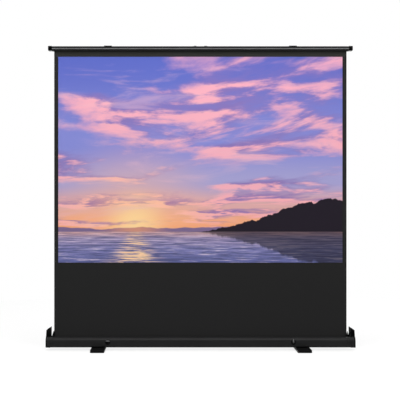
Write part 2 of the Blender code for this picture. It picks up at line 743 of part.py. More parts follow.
def bracket_sides(z, plate_z):
    """The side view of one cheek: a round eye on a foot that widens to the plate."""
    up = 1 if plate_z < z else -1
    eye = arc((LEFT_X, z), CHEEK_RADIUS, 0, up * 180)
    half = 2 * CHEEK_RADIUS
    return [(LEFT_X + half, plate_z)] + eye + [(LEFT_X - half, plate_z)]


def make_bracket(name, z, seat_z, cheeks, parent=None):
    """A base plate from seat_z towards the pivot, with cheeks that start at the given places along Y."""
    up = 1 if seat_z < z else -1
    inner = seat_z + up * BRACKET_BASE
    low = (LEFT_X - PLATE_HALF_LENGTH, min(cheeks), seat_z)
    high = (LEFT_X + PLATE_HALF_LENGTH, max(cheeks) + CHEEK, inner)
    bracket = to_object(name, box(low, high), ZINC)
    for y in cheeks:
        join(bracket, prism(bracket_sides(z, seat_z + up * WELD), "Y", y, y + CHEEK))
    hole = circle((LEFT_X, z), BORE)
    cut(bracket, prism(hole, "Y", min(cheeks) - OVERRUN, max(cheeks) + CHEEK + OVERRUN))
    seat(bracket, (LEFT_X, min(cheeks), z), parent)


def make_fixed_pivots():
    front = FRONT_ARM_Y - CHEEK_GAP - CHEEK
    middle = FRONT_ARM_BACK + CHEEK_GAP
    rear = middle + CHEEK + SPRING_ROOM
    make_bracket("base_bracket", BASE_PIVOT_Z, FLOOR_INSIDE + TOUCH, (front, middle, rear))
    make_pin("base_pivot_pin", LEFT_X, BASE_PIVOT_Z, front, rear + CHEEK)
    near = middle + CHEEK + TOUCH + LIFT_SPRING_WIRE
    far = rear - TOUCH - LIFT_SPRING_WIRE
    line = ((LEFT_X, near, BASE_PIVOT_Z), (LEFT_X, far, BASE_PIVOT_Z))
    sizes = (LIFT_SPRING_RADIUS, LIFT_SPRING_WIRE, LIFT_SPRING_CURLS)
    spring("lift_spring", line, (0, 1, 0), *sizes, SPRING_STEEL)
    inner = REAR_ARM_Y - CHEEK_GAP - CHEEK
    outer = REAR_ARM_BACK + CHEEK_GAP
    make_bracket("top_bracket", TOP_PIVOT_Z, BAR_INSIDE - TOUCH, (inner, outer), TOP_BAR_PIVOT)
    make_pin("top_pivot_pin", LEFT_X, TOP_PIVOT_Z, inner, outer + CHEEK, TOP_BAR_PIVOT)


make_fixed_pivots()


# Slides at the right: a nylon block on each moving arm end, running in a channel

TRACK_WALL = 0.0014
TRACK_SIDE = 0.019
TRACK_SLACK = 0.0006
TRACK_RUN_IN = 0.022
SLIDER_HALF_LENGTH = 0.022
SLIDER_HALF_HEIGHT = 0.0105
SLIDER_RUN_GAP = 0.0005
SLIDER_CORNER = 0.002

TRACK_START = RIGHT_X - SLIDER_HALF_LENGTH - TRACK_RUN_IN
TRACK_END = FOLDED_RIGHT_X + SLIDER_HALF_LENGTH + TRACK_RUN_IN


def make_track(name, seat_z, up, front, rear, parent=None):
    """A channel whose open side faces along up, clear of the pin heads at front and rear."""
    low_y, high_y = front - TRACK_SLACK - TRACK_WALL, rear + TRACK_SLACK + TRACK_WALL
    floor, lip = seat_z + up * TRACK_WALL, seat_z + up * TRACK_SIDE
    section = [
        (low_y, seat_z), (high_y, seat_z), (high_y, lip), (high_y - TRACK_WALL, lip),
        (high_y - TRACK_WALL, floor), (low_y + TRACK_WALL, floor), (low_y + TRACK_WALL, lip), (low_y, lip),
    ]
    shape = prism(section, "X", TRACK_START, TRACK_END)
    part(name, shape, ALUMINIUM, (TRACK_START, low_y, seat_z), parent)


def make_slider(name, z, low_y, high_y, floor_z, parent):
    """A block round one arm end's pin, its running face just clear of the channel's floor."""
    far = z + SLIDER_HALF_HEIGHT if floor_z < z else z - SLIDER_HALF_HEIGHT
    low = (RIGHT_X - SLIDER_HALF_LENGTH, min(floor_z, far))
    high = (RIGHT_X + SLIDER_HALF_LENGTH, max(floor_z, far))
    outline = rounded_rectangle(low, high, SLIDER_CORNER, 2)
    block = to_object(name, prism(outline, "Y", low_y, high_y), NYLON)
    cut(block, prism(circle((RIGHT_X, z), BORE), "Y", low_y - OVERRUN, high_y + OVERRUN))
    seat(block, (RIGHT_X, low_y, z), parent)


def make_slides():
    # The lower rear arm's foot, beside a block that fills the plane of the front arms
    low_y, high_y = FRONT_ARM_Y + 2 * CHEEK_GAP, REAR_ARM_Y - TOUCH
    floor = FLOOR_INSIDE + TOUCH
    running = floor + TRACK_WALL + SLIDER_RUN_GAP
    make_slider("base_slider", BASE_PIVOT_Z, low_y, high_y, running, BASE_SLIDER_PIVOT)
    make_pin("base_slider_pin", RIGHT_X, BASE_PIVOT_Z, low_y, REAR_ARM_BACK, BASE_SLIDER_PIVOT)
    heads = (low_y - TOUCH - PIN_HEAD, REAR_ARM_BACK + TOUCH + PIN_HEAD)
    make_track("base_track", floor, 1, *heads)
    # The upper front arm's head, beside a block that fills the plane of the rear arms
    low_y, high_y = FRONT_ARM_BACK + TOUCH, REAR_ARM_BACK - 2 * CHEEK_GAP
    roof = BAR_INSIDE - TOUCH
    running = roof - TRACK_WALL - SLIDER_RUN_GAP
    make_slider("top_slider", TOP_PIVOT_Z, low_y, high_y, running, TOP_SLIDER_PIVOT)
    make_pin("top_slider_pin", RIGHT_X, TOP_PIVOT_Z, FRONT_ARM_Y, high_y, TOP_SLIDER_PIVOT)
    heads = (FRONT_ARM_Y - TOUCH - PIN_HEAD, high_y + TOUCH + PIN_HEAD)
    make_track("top_track", roof, -1, *heads, TOP_BAR_PIVOT)


make_slides()


# Top bar: an inverted channel with a bead along its front and a fin that the sheet is clamped to

BAR_FRONT_RADIUS = 0.004
BAR_REAR_RADIUS = 0.003
BEAD_DROP = 0.012
BEAD_HALF = 0.0013
BEAD_PROUD = 0.0012
FIN_THICKNESS = 0.003
FIN_DROP = 0.017
CLAMP_THICKNESS = 0.002
CLAMP_HEIGHT = 0.013
CLAMP_DROP = 0.003
CLAMP_INSET = 0.015
BAR_CAP_LENGTH = 0.028
BAR_CAP_RISE = 0.003
BAR_CAP_CORNER = 0.007
BAR_CAP_EDGE = 0.005
BAR_CAP_TONGUE = 0.012
TONGUE_SLACK = 0.0006


def bar_section():
    bead = BAR_TOP - BEAD_DROP
    fin_rear = SHEET_FRONT - TOUCH
    fin_front = fin_rear - FIN_THICKNESS
    inner_front, inner_rear = BAR_FRONT + BAR_WALL, BAR_REAR - BAR_WALL
    front_corner = (BAR_FRONT + BAR_FRONT_RADIUS, BAR_TOP - BAR_FRONT_RADIUS)
    rear_corner = (BAR_REAR - BAR_REAR_RADIUS, BAR_TOP - BAR_REAR_RADIUS)
    return (
        [
            (BAR_FRONT, BAR_BOTTOM),
            (BAR_FRONT, bead - 2 * BEAD_HALF),
            (BAR_FRONT - BEAD_PROUD, bead - BEAD_HALF),
            (BAR_FRONT - BEAD_PROUD, bead + BEAD_HALF),
            (BAR_FRONT, bead + 2 * BEAD_HALF),
        ]
        + arc(front_corner, BAR_FRONT_RADIUS, 180, 90, 3)
        + arc(rear_corner, BAR_REAR_RADIUS, 90, 0, 3)
        + [(BAR_REAR, BAR_BOTTOM), (inner_rear, BAR_BOTTOM)]
        + arc(rear_corner, BAR_REAR_RADIUS - BAR_WALL, 0, 90, 2)
        + [
            (fin_rear, BAR_INSIDE),
            (fin_rear, BAR_INSIDE - FIN_DROP),
            (fin_front, BAR_INSIDE - FIN_DROP),
            (fin_front, BAR_INSIDE),
        ]
        + arc(front_corner, BAR_FRONT_RADIUS - BAR_WALL, 90, 180, 2)
        + [(inner_front, BAR_BOTTOM)]
    )


def make_bar_cap(word, side):
    """A rounded cap over the end of the bar, with a tongue that plugs into its rear half."""
    start = BAR_LENGTH / 2 + TOUCH
    low = (BAR_FRONT, BAR_BOTTOM)
    high = (BAR_REAR, BAR_TOP + BAR_CAP_RISE)
    outline = rounded_rectangle(low, high, BAR_CAP_CORNER)
    shape = prism(outline, "X", side * start, side * (start + BAR_CAP_LENGTH))
    end = side * (start + BAR_CAP_LENGTH)
    rim = [e for e in shape.edges if all(abs(v.co.x - end) < WELD for v in e.verts)]
    bmesh.ops.bevel(
        shape, geom=rim, offset=BAR_CAP_EDGE, segments=3, profile=0.5, affect="EDGES", material=-1
    )
    cap = to_object(f"top_bar_cap_{word}", shape, CAP_BLACK)
    tongue_rear = BAR_REAR - BAR_WALL - TONGUE_SLACK
    tongue_low = (side * (start - BAR_CAP_TONGUE), REAR_ARM_Y, BAR_BOTTOM + BAR_WALL)
    tongue_high = (side * (start + BAR_CAP_EDGE), tongue_rear, BAR_INSIDE - TONGUE_SLACK)
    join(cap, box(tongue_low, tongue_high))
    seat(cap, (side * start, 0, BAR_BOTTOM), TOP_BAR_PIVOT)


def make_top_bar():
    half = BAR_LENGTH / 2
    shape = prism(bar_section(), "X", -half, half)
    part("top_bar", shape, SATIN_BLACK, (0, 0, BAR_BOTTOM), TOP_BAR_PIVOT)
    clamp_end, clamp_top = SHEET_WIDTH / 2 - CLAMP_INSET, BAR_INSIDE - CLAMP_DROP
    low = (-clamp_end, SHEET_REAR + TOUCH, clamp_top - CLAMP_HEIGHT)
    high = (clamp_end, SHEET_REAR + TOUCH + CLAMP_THICKNESS, clamp_top)
    part("sheet_clamp_strip", box(low, high), ALUMINIUM, low, TOP_BAR_PIVOT)
    for word, side in SIDES.items():
        make_bar_cap(word, side)


make_top_bar()


# Hasps: two slotted plates hinged at the top bar's front edge, which fold down over the turn buttons

HASP_SETBACK = 0.442
HASP_WIDTH = 0.054
HASP_PLATE = 0.0018
LEAF_PLATE = 0.0012
LEAF_REACH = 0.024
KNUCKLE_RADIUS = 0.0024
KNUCKLE_HALF = 0.012
KNUCKLE_AHEAD = 0.003
HINGE_PIN_RADIUS = 0.0012
SLOT_LENGTH = 0.030
SLOT_WIDTH = 0.012
HASP_TIP = 0.009
HASP_CORNER = 0.005
BUTTON_HEIGHT = 0.044
HASP_CLEARANCE = 0.0008

HASP_OFFSET = OVERALL_LENGTH / 2 - HASP_SETBACK
HINGE_Y = BAR_FRONT - KNUCKLE_AHEAD
HINGE_Z = BAR_TOP + TOUCH + LEAF_PLATE + TOUCH + HASP_PLATE - KNUCKLE_RADIUS
# With the top bar down, the plate leans just clear of the housing's rounded shoulder
FOLDED_HINGE_Z = HINGE_Z - BAR_BOTTOM + HOUSING_TOP + CLOSED_GAP
HINGE_TO_ARC = math.hypot(ARC_Y - HINGE_Y, FOLDED_HINGE_Z - ARC_Z)
HASP_LEAN = math.asin(
    (FRONT_RADIUS + HASP_CLEARANCE + KNUCKLE_RADIUS) / HINGE_TO_ARC
) - math.atan2(ARC_Y - HINGE_Y, FOLDED_HINGE_Z - ARC_Z)
BUTTON_REACH = (FOLDED_HINGE_Z - HOUSING_BOTTOM - BUTTON_HEIGHT) / math.cos(HASP_LEAN)
HASP_REACH = BUTTON_REACH + SLOT_WIDTH / 2 + HASP_TIP


def make_hinge_leaf(word, x):
    """A plate screwed on the bar's top, with two outer knuckles and the pin between them."""
    half = HASP_WIDTH / 2
    low_z = BAR_TOP + TOUCH
    plate = box((x - half, HINGE_Y, low_z), (x + half, HINGE_Y + LEAF_REACH, low_z + LEAF_PLATE))
    leaf = to_object(f"hasp_hinge_{word}", plate, SATIN_BLACK)
    room = KNUCKLE_HALF + TOUCH
    clear = KNUCKLE_RADIUS + 2 * TOUCH
    notch_low = (x - room, HINGE_Y - clear - OVERRUN, low_z - OVERRUN)
    cut(leaf, box(notch_low, (x + room, HINGE_Y + clear, low_z + OVERRUN)))
    for side in (-1, 1):
        knuckle = circle((HINGE_Y, HINGE_Z), KNUCKLE_RADIUS, 12)
        join(leaf, prism(knuckle, "X", x + side * room, x + side * half))
    pin = circle((HINGE_Y, HINGE_Z), HINGE_PIN_RADIUS, 12)
    join(leaf, prism(pin, "X", x - room - TOUCH, x + room + TOUCH))
    seat(leaf, (x, HINGE_Y, HINGE_Z), TOP_BAR_PIVOT)


def make_hasp(word, x):
    """The slotted plate, lying back on the bar."""
    half, low_z = HASP_WIDTH / 2, HINGE_Z + KNUCKLE_RADIUS - HASP_PLATE
    far = HINGE_Y + HASP_REACH
    step = HINGE_Y + KNUCKLE_RADIUS + 2 * TOUCH
    outline = [
        (x - KNUCKLE_HALF, HINGE_Y), (x + KNUCKLE_HALF, HINGE_Y),
        (x + KNUCKLE_HALF, step), (x + half, step),
    ]
    outline += arc((x + half - HASP_CORNER, far - HASP_CORNER), HASP_CORNER, 0, 90, 3)
    outline += arc((x - half + HASP_CORNER, far - HASP_CORNER), HASP_CORNER, 90, 180, 3)
    outline += [(x - half, step), (x - KNUCKLE_HALF, step)]
    hasp = to_object(f"hasp_{word}", prism(outline, "Z", low_z, low_z + HASP_PLATE), SATIN_BLACK)
    knuckle = circle((HINGE_Y, HINGE_Z), KNUCKLE_RADIUS, 12)
    join(hasp, prism(knuckle, "X", x - KNUCKLE_HALF, x + KNUCKLE_HALF))
    bore = circle((HINGE_Y, HINGE_Z), HINGE_PIN_RADIUS + RUN_GAP, 12)
    cut(hasp, prism(bore, "X", x - KNUCKLE_HALF - OVERRUN, x + KNUCKLE_HALF + OVERRUN))
    centre = (x, HINGE_Y + BUTTON_REACH)
    slot = stadium(centre, (SLOT_LENGTH - SLOT_WIDTH) / 2, SLOT_WIDTH / 2, 4)
    cut(hasp, prism(slot, "Z", low_z - OVERRUN, low_z + HASP_PLATE + OVERRUN))
    turn = pivot(f"hasp_{word}_hinge", (x, HINGE_Y, HINGE_Z))
    seat(hasp, turn.location, turn)


for word, side in SIDES.items():
    make_hinge_leaf(word, side * HASP_OFFSET)
    make_hasp(word, side * HASP_OFFSET)


# Turn buttons: each stands square to the folded hasp on a wedge-shaped base on the housing's front

BASE_RADIUS = 0.0175
BASE_DEPTH = 0.020
BASE_EDGE = 0.0015
FACE_CLEARANCE = 0.0005
NECK_RADIUS = 0.004
NECK_SINK = 0.0012
GRIP_LENGTH = 0.028
GRIP_WIDTH = 0.010
GRIP_HEIGHT = 0.009
GRIP_CLEARANCE = 0.0009

BUTTON_AXIS = Vector((0, -math.cos(HASP_LEAN), math.sin(HASP_LEAN)))
HASP_DOWN = Vector((0, -math.sin(HASP_LEAN), -math.cos(HASP_LEAN)))


def button_centre(x):
    """The middle of the base's front face, just under the folded hasp."""
    hinge = Vector((x, HINGE_Y, FOLDED_HINGE_Z))
    return hinge + BUTTON_REACH * HASP_DOWN - (KNUCKLE_RADIUS + FACE_CLEARANCE) * BUTTON_AXIS


def make_button_base(word, centre):
    """A round boss cut to the housing's front, with a blind hole for the button's neck."""
    profile = [
        (-BASE_DEPTH, 0), (-BASE_DEPTH, BASE_RADIUS),
        (-BASE_EDGE, BASE_RADIUS), (0, BASE_RADIUS - BASE_EDGE), (0, 0),
    ]
    base = to_object(f"button_base_{word}", turned(profile, centre, BUTTON_AXIS, 28), CAP_BLACK)
    half = BASE_RADIUS + OVERRUN
    cut(base, prism(housing_path(-TOUCH), "X", centre.x - half, centre.x + half))
    sink = -NECK_SINK - TOUCH
    hole = [(sink, 0), (sink, NECK_RADIUS + RUN_GAP), (OVERRUN, NECK_RADIUS + RUN_GAP), (OVERRUN, 0)]
    cut(base, turned(hole, centre, BUTTON_AXIS))
    seat(base, centre)


def make_button(word, centre, upright):
    """The button: a neck through the hasp's slot, and an oval grip across it."""
    turn = pivot(f"button_{word}_turn", centre)
    start = FACE_CLEARANCE + HASP_PLATE + GRIP_CLEARANCE
    top = start + GRIP_HEIGHT
    oval = stadium((0, 0), (GRIP_LENGTH - GRIP_WIDTH) / 2, GRIP_WIDTH / 2, 6)
    grip = prism(oval, "Z", start, top)
    rim = [e for e in grip.edges if all(abs(v.co.z - top) < WELD for v in e.verts)]
    bmesh.ops.bevel(
        grip, geom=rim, offset=BASE_EDGE, segments=2, profile=0.5, affect="EDGES", material=-1
    )
    across = Vector((1, 0, 0))
    rows = (across, BUTTON_AXIS.cross(across), BUTTON_AXIS)
    aim = Matrix(rows).transposed().to_4x4()
    if upright:
        aim = aim @ Matrix.Rotation(math.pi / 2, 4, "Z")
    bmesh.ops.transform(grip, matrix=Matrix.Translation(centre) @ aim, verts=grip.verts)
    button = to_object(f"turn_button_{word}", grip, CAP_BLACK)
    root = start + BASE_EDGE
    neck = [(-NECK_SINK, 0), (-NECK_SINK, NECK_RADIUS), (root, NECK_RADIUS), (root, 0)]
    join(button, turned(neck, centre, BUTTON_AXIS))
    seat(button, centre, turn)


for word, side in SIDES.items():
    middle = button_centre(side * HASP_OFFSET)
    make_button_base(word, middle)
    make_button(word, middle, upright=side > 0)


# Carrying handle: a wire bail with a moulded grip, lying back on the top bar between two clips

CLIP_SPACING = 0.075
CLIP_WIDTH = 0.018
CLIP_DEPTH = 0.012
CLIP_WALL = 0.001
HANDLE_SETBACK = 0.031
BAIL_RADIUS = 0.002
BAIL_LIFT = 0.0034
BAIL_REACH = 0.030
BAIL_WIDTH = 0.108
BAIL_BEND = 0.006
GRIP_SLEEVE_LENGTH = 0.080
GRIP_SLEEVE_DEPTH = 0.012

HANDLE_Y = BAR_FRONT + HANDLE_SETBACK
HANDLE_Z = BAR_TOP + BAIL_LIFT


def make_clip(word, side):
    """A half-round saddle with a bore for one end of the bail."""
    x, low = side * CLIP_SPACING / 2, BAR_TOP + TOUCH
    crown = arc((HANDLE_Y, HANDLE_Z), BAIL_RADIUS + TOUCH + CLIP_WALL, 0, 180, 6)
    outline = [(HANDLE_Y + CLIP_DEPTH / 2, low)] + crown + [(HANDLE_Y - CLIP_DEPTH / 2, low)]
    half = CLIP_WIDTH / 2
    clip = to_object(f"handle_clip_{word}", prism(outline, "X", x - half, x + half), CAP_BLACK)
    bore = circle((HANDLE_Y, HANDLE_Z), BAIL_RADIUS + RUN_GAP, 16)
    cut(clip, prism(bore, "X", x - half - OVERRUN, x + half + OVERRUN))
    seat(clip, (x, HANDLE_Y, HANDLE_Z), TOP_BAR_PIVOT)


def bail_points():
    """The bail's centre line: in from one clip, back, across and in to the other clip."""
    inner = CLIP_SPACING / 2 - CLIP_WIDTH / 2
    outer = BAIL_WIDTH / 2
    near, far = HANDLE_Y, HANDLE_Y + BAIL_REACH
    right = [(inner, near)]
    right += arc((outer - BAIL_BEND, near + BAIL_BEND), BAIL_BEND, -90, 0, 4)
    right += arc((outer - BAIL_BEND, far - BAIL_BEND), BAIL_BEND, 0, 90, 4)
    left = [(-x, y) for x, y in reversed(right)]
    return [(x, y, HANDLE_Z) for x, y in right + left]


def make_handle():
    turn = pivot("handle_hinge", (0, HANDLE_Y, HANDLE_Z))
    curve = bpy.data.curves.new("handle_bail", "CURVE")
    curve.dimensions = "3D"
    curve.bevel_depth = BAIL_RADIUS
    curve.bevel_resolution = 2
    curve.use_fill_caps = True
    points = bail_points()
    line = curve.splines.new("POLY")
    line.points.add(len(points) - 1)
    for point, place in zip(line.points, points):
        point.co = (*place, 1)
    bail = bpy.data.objects.new("handle_bail", curve)
    bpy.context.scene.collection.objects.link(bail)
    curve.materials.append(ZINC)
    hang(bail, turn)
    far, depth, height = HANDLE_Y + BAIL_REACH, GRIP_SLEEVE_DEPTH / 2, BAIL_LIFT - TOUCH
    low, high = (far - depth, HANDLE_Z - height), (far + depth, HANDLE_Z + height)
    outline = rounded_rectangle(low, high, BAIL_RADIUS)
    length = GRIP_SLEEVE_LENGTH / 2
    grip = to_object("handle_grip", prism(outline, "X", -length, length), RUBBER)
    bore = circle((far, HANDLE_Z), BAIL_RADIUS + TOUCH, 16)
    cut(grip, prism(bore, "X", -length - OVERRUN, length + OVERRUN))
    seat(grip, turn.location, turn)


for word, side in SIDES.items():
    make_clip(word, side)
make_handle()
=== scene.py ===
"""Floor-standing pull-up projector screen, raised, in a plain white studio."""

import json
import math

import bmesh
import bpy
from mathutils import Matrix, Vector


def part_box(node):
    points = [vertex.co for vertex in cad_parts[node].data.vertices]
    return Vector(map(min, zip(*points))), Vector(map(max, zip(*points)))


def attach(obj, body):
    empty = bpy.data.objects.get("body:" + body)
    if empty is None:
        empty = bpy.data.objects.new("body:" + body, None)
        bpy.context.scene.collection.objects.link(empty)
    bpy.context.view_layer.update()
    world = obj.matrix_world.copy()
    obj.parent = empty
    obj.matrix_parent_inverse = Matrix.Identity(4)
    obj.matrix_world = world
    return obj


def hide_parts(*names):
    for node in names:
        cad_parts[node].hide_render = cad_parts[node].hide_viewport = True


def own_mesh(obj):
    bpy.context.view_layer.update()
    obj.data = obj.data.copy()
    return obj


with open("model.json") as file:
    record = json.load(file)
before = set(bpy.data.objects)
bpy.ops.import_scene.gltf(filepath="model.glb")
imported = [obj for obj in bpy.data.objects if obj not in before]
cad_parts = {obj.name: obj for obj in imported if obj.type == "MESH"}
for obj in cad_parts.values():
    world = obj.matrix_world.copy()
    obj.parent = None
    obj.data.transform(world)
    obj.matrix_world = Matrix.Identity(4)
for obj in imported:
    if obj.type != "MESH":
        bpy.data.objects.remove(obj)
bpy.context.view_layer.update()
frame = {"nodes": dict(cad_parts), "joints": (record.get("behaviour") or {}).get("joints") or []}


# Housing. One extruded aluminium trough with 2 mm walls, satin black anodised. Its top is open
# between two lips and its rounded front faces the viewers. Everything else is fixed to it.

HOUSING_WALL = 0.002
FRONT_ROUND = 0.034
LOWER_ROUND = 0.012
REAR_ROUND = 0.003
FRONT_LIP_Y = -0.012
REAR_LIP_Y = 0.0415
LIP_EASE = 0.0004
ROUNDING_STEPS_PER_METRE = 600
PATCHES_PER_METRE = 9
GRAIN_SPREAD = (0.35, 0.65)
SAME_PLACE = 0.00001
MERGE_GAP = 0.000001


def arithmetic(tree, operation, *values, clamp=False):
    """One step of arithmetic in a material, on sockets or plain numbers."""
    node = tree.nodes.new("ShaderNodeMath")
    node.operation = operation
    node.use_clamp = clamp
    for socket, value in zip(node.inputs, values):
        if isinstance(value, bpy.types.NodeSocket):
            tree.links.new(value, socket)
        else:
            socket.default_value = value
    return node.outputs[0]


def grain_finish(
    name, dark, light, rough, size, lay=(1, 1, 1), turn=0.0, depth=0.0, metallic=0.0, specular=0.5
):
    """A finish whose colour, gloss and relief follow one grain, drawn out along lay."""
    made = bpy.data.materials.new(name)
    made.use_nodes = True
    nodes, links = made.node_tree.nodes, made.node_tree.links
    shader = nodes["Principled BSDF"]
    shader.inputs["Metallic"].default_value = metallic
    shader.inputs["Specular IOR Level"].default_value = specular
    place = nodes.new("ShaderNodeTexCoord")
    laid = nodes.new("ShaderNodeMapping")
    laid.vector_type = "TEXTURE"
    laid.inputs["Rotation"].default_value = (0, turn, 0)
    laid.inputs["Scale"].default_value = lay
    links.new(place.outputs["Object"], laid.inputs["Vector"])
    grain = nodes.new("ShaderNodeTexNoise")
    grain.inputs["Scale"].default_value = 1 / size
    grain.inputs["Detail"].default_value = 3
    links.new(laid.outputs["Vector"], grain.inputs["Vector"])
    patches = nodes.new("ShaderNodeTexNoise")
    patches.inputs["Scale"].default_value = PATCHES_PER_METRE
    patches.inputs["Detail"].default_value = 2
    links.new(place.outputs["Object"], patches.inputs["Vector"])
    half = arithmetic(made.node_tree, "MULTIPLY", patches.outputs["Fac"], 0.5)
    both = arithmetic(made.node_tree, "MULTIPLY_ADD", grain.outputs["Fac"], 0.5, half)
    spread = nodes.new("ShaderNodeMapRange")
    spread.inputs["From Min"].default_value = GRAIN_SPREAD[0]
    spread.inputs["From Max"].default_value = GRAIN_SPREAD[1]
    links.new(both, spread.inputs["Value"])
    tint = nodes.new("ShaderNodeMix")
    tint.data_type = "RGBA"
    tint.inputs[6].default_value = (*dark, 1)
    tint.inputs[7].default_value = (*light, 1)
    links.new(spread.outputs["Result"], tint.inputs[0])
    links.new(tint.outputs[2], shader.inputs["Base Color"])
    gloss = nodes.new("ShaderNodeMapRange")
    gloss.inputs["To Min"].default_value = rough[0]
    gloss.inputs["To Max"].default_value = rough[1]
    links.new(spread.outputs["Result"], gloss.inputs["Value"])
    links.new(gloss.outputs["Result"], shader.inputs["Roughness"])
    if depth:
        relief = nodes.new("ShaderNodeBump")
        relief.inputs["Distance"].default_value = depth
        links.new(grain.outputs["Fac"], relief.inputs["Height"])
        links.new(relief.outputs["Normal"], shader.inputs["Normal"])
    return made


def round_off(shape, edges, radius, steps):
    """Rounds some edges of a shape to a radius."""
    bmesh.ops.bevel(
        shape, geom=edges, offset=radius, offset_type="OFFSET", segments=steps,
        profile=0.5, affect="EDGES", material=-1,
    )


def drawn_section(corners, ends):
    """A closed section of (y, z, radius) corners drawn out along X, its long edges rounded."""
    shape = bmesh.new()
    ring = [shape.verts.new((ends[0], y, z)) for y, z, radius in corners]
    face = shape.faces.new(ring)
    grown = bmesh.ops.extrude_face_region(shape, geom=[face])["geom"]
    moved = [item for item in grown if isinstance(item, bmesh.types.BMVert)]
    bmesh.ops.translate(shape, verts=moved, vec=(ends[1] - ends[0], 0, 0))
    for y, z, radius in corners:
        if not radius:
            continue
        edge = [
            e for e in shape.edges
            if all(math.hypot(v.co.y - y, v.co.z - z) < SAME_PLACE for v in e.verts)
        ]
        round_off(shape, edge, radius, 2 + round(radius * ROUNDING_STEPS_PER_METRE))
    bmesh.ops.recalc_face_normals(shape, faces=shape.faces)
    return shape


def finished(name, shape, material, body, sharp=32):
    """A modelled piece: smooth but for its hard edges, with its finish, riding on its body."""
    mesh = bpy.data.meshes.new(name)
    shape.to_mesh(mesh)
    shape.free()
    mesh.materials.append(material)
    mesh.shade_smooth()
    mesh.set_sharp_from_angle(angle=math.radians(sharp))
    piece = bpy.data.objects.new(name, mesh)
    bpy.context.scene.collection.objects.link(piece)
    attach(piece, body)
    return piece


black_anodising = grain_finish(
    "black_anodising", (0.0135, 0.0135, 0.0138), (0.0180, 0.0180, 0.0184), (0.30, 0.40), 0.0012,
    lay=(60, 1, 1), depth=0.00001, specular=0.08,
)

low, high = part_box("housing")
housing_corners = [
    (FRONT_LIP_Y, high.z, LIP_EASE),
    (low.y, high.z, FRONT_ROUND),
    (low.y, low.z, LOWER_ROUND),
    (high.y, low.z, REAR_ROUND),
    (high.y, high.z, REAR_ROUND),
    (REAR_LIP_Y, high.z, LIP_EASE),
    (REAR_LIP_Y, high.z - HOUSING_WALL, LIP_EASE),
    (high.y - HOUSING_WALL, high.z - HOUSING_WALL, REAR_ROUND - HOUSING_WALL),
    (high.y - HOUSING_WALL, low.z + HOUSING_WALL, REAR_ROUND - HOUSING_WALL),
    (low.y + HOUSING_WALL, low.z + HOUSING_WALL, LOWER_ROUND - HOUSING_WALL),
    (low.y + HOUSING_WALL, high.z - HOUSING_WALL, FRONT_ROUND - HOUSING_WALL),
    (FRONT_LIP_Y, high.z - HOUSING_WALL, LIP_EASE),
]
housing_shell = finished(
    "housing_shell", drawn_section(housing_corners, (low.x, high.x)),
    black_anodising, "base",
)
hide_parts("housing")


# End caps. Each is one black moulding, a grained cup over the end of the housing with a glossy end
# plate and a fork of upright horns that guides the top bar down. Three screws hold it.

CAP_EASE = 0.0005
CAP_SKIN = 0.0018
CAP_START = 1.046
CAP_SLANT = 0.026
GLOSSY_START = 1.0935
PLATE_STEP = 0.0002
FLAT_ANGLE = 1
EASED_ANGLE = 35
RIB_PROUD = 0.0014
RIB_SUNK = 0.0003
RIB_SPARE = 0.01
RIB_WIDTH = 0.0036
RIB_FOOT_Y = -0.036
RIB_HEAD_Y = -0.022
RIB_TOP_X = 1.082
SCREW_RADIUS = 0.0035
SCREW_HEAD = 0.0016
SCREW_CROSS = 0.0008
SCREW_CROSS_REACH = 0.0018
SCREW_CROSS_DEPTH = 0.0009
SCREW_DOME = ((0.35, 0.97), (0.75, 0.80), (0.94, 0.56), (1.00, 0.25))
SCREW_SIDES = 24
SCREW_PLACES = ((-0.030, 0.062), (0.030, 0.036), (0.030, 0.080))


def slice_through(shape, point, square, clear_outer=False):
    """Cuts a whole shape along a plane through a point."""
    return bmesh.ops.bisect_plane(
        shape, geom=shape.verts[:] + shape.edges[:] + shape.faces[:],
        plane_co=point, plane_no=square, clear_outer=clear_outer,
    )


def with_eased_edges(name, node, material, body, ease, sharp=32, seam_x=None):
    """The node's own shape, merged, with its hard edges rounded as moulding leaves them."""
    shape = bmesh.new()
    shape.from_mesh(frame["nodes"][node].data)
    bmesh.ops.remove_doubles(shape, verts=shape.verts, dist=SAME_PLACE)
    bmesh.ops.dissolve_limit(
        shape, angle_limit=math.radians(FLAT_ANGLE), verts=shape.verts, edges=shape.edges,
        use_dissolve_boundaries=False, delimit={"NORMAL"},
    )
    if seam_x is not None:
        slice_through(shape, (seam_x, 0, 0), (1, 0, 0))
    piece = finished(name, shape, material, body, sharp)
    rounding = piece.modifiers.new("rounding", "BEVEL")
    rounding.width = ease
    rounding.segments = 2
    rounding.limit_method = "ANGLE"
    rounding.angle_limit = math.radians(EASED_ANGLE)
    rounding.harden_normals = True
    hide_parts(node)
    return piece


def pointing(spot, direction):
    """The placing of a shape at a spot, its own Z turned to a direction."""
    aim = Vector(direction).to_track_quat("Z", "Y").to_matrix().to_4x4()
    return Matrix.Translation(spot) @ aim


def turned(profile, centre, direction, sides):
    """A profile of (along, radius) points spun about a line through centre."""
    shape = bmesh.new()
    line = [shape.verts.new((radius, 0, along)) for along, radius in profile]
    pairs = list(zip(line, line[1:]))
    if profile[0][1] > 0:
        pairs.append((line[-1], line[0]))
    edges = [shape.edges.new(pair) for pair in pairs]
    bmesh.ops.spin(
        shape, geom=line + edges, cent=(0, 0, 0), axis=(0, 0, 1),
        angle=math.tau, steps=sides, use_merge=True,
    )
    bmesh.ops.remove_doubles(shape, verts=shape.verts, dist=MERGE_GAP)
    bmesh.ops.recalc_face_normals(shape, faces=shape.faces)
    bmesh.ops.transform(shape, matrix=pointing(centre, direction), verts=shape.verts)
    return shape


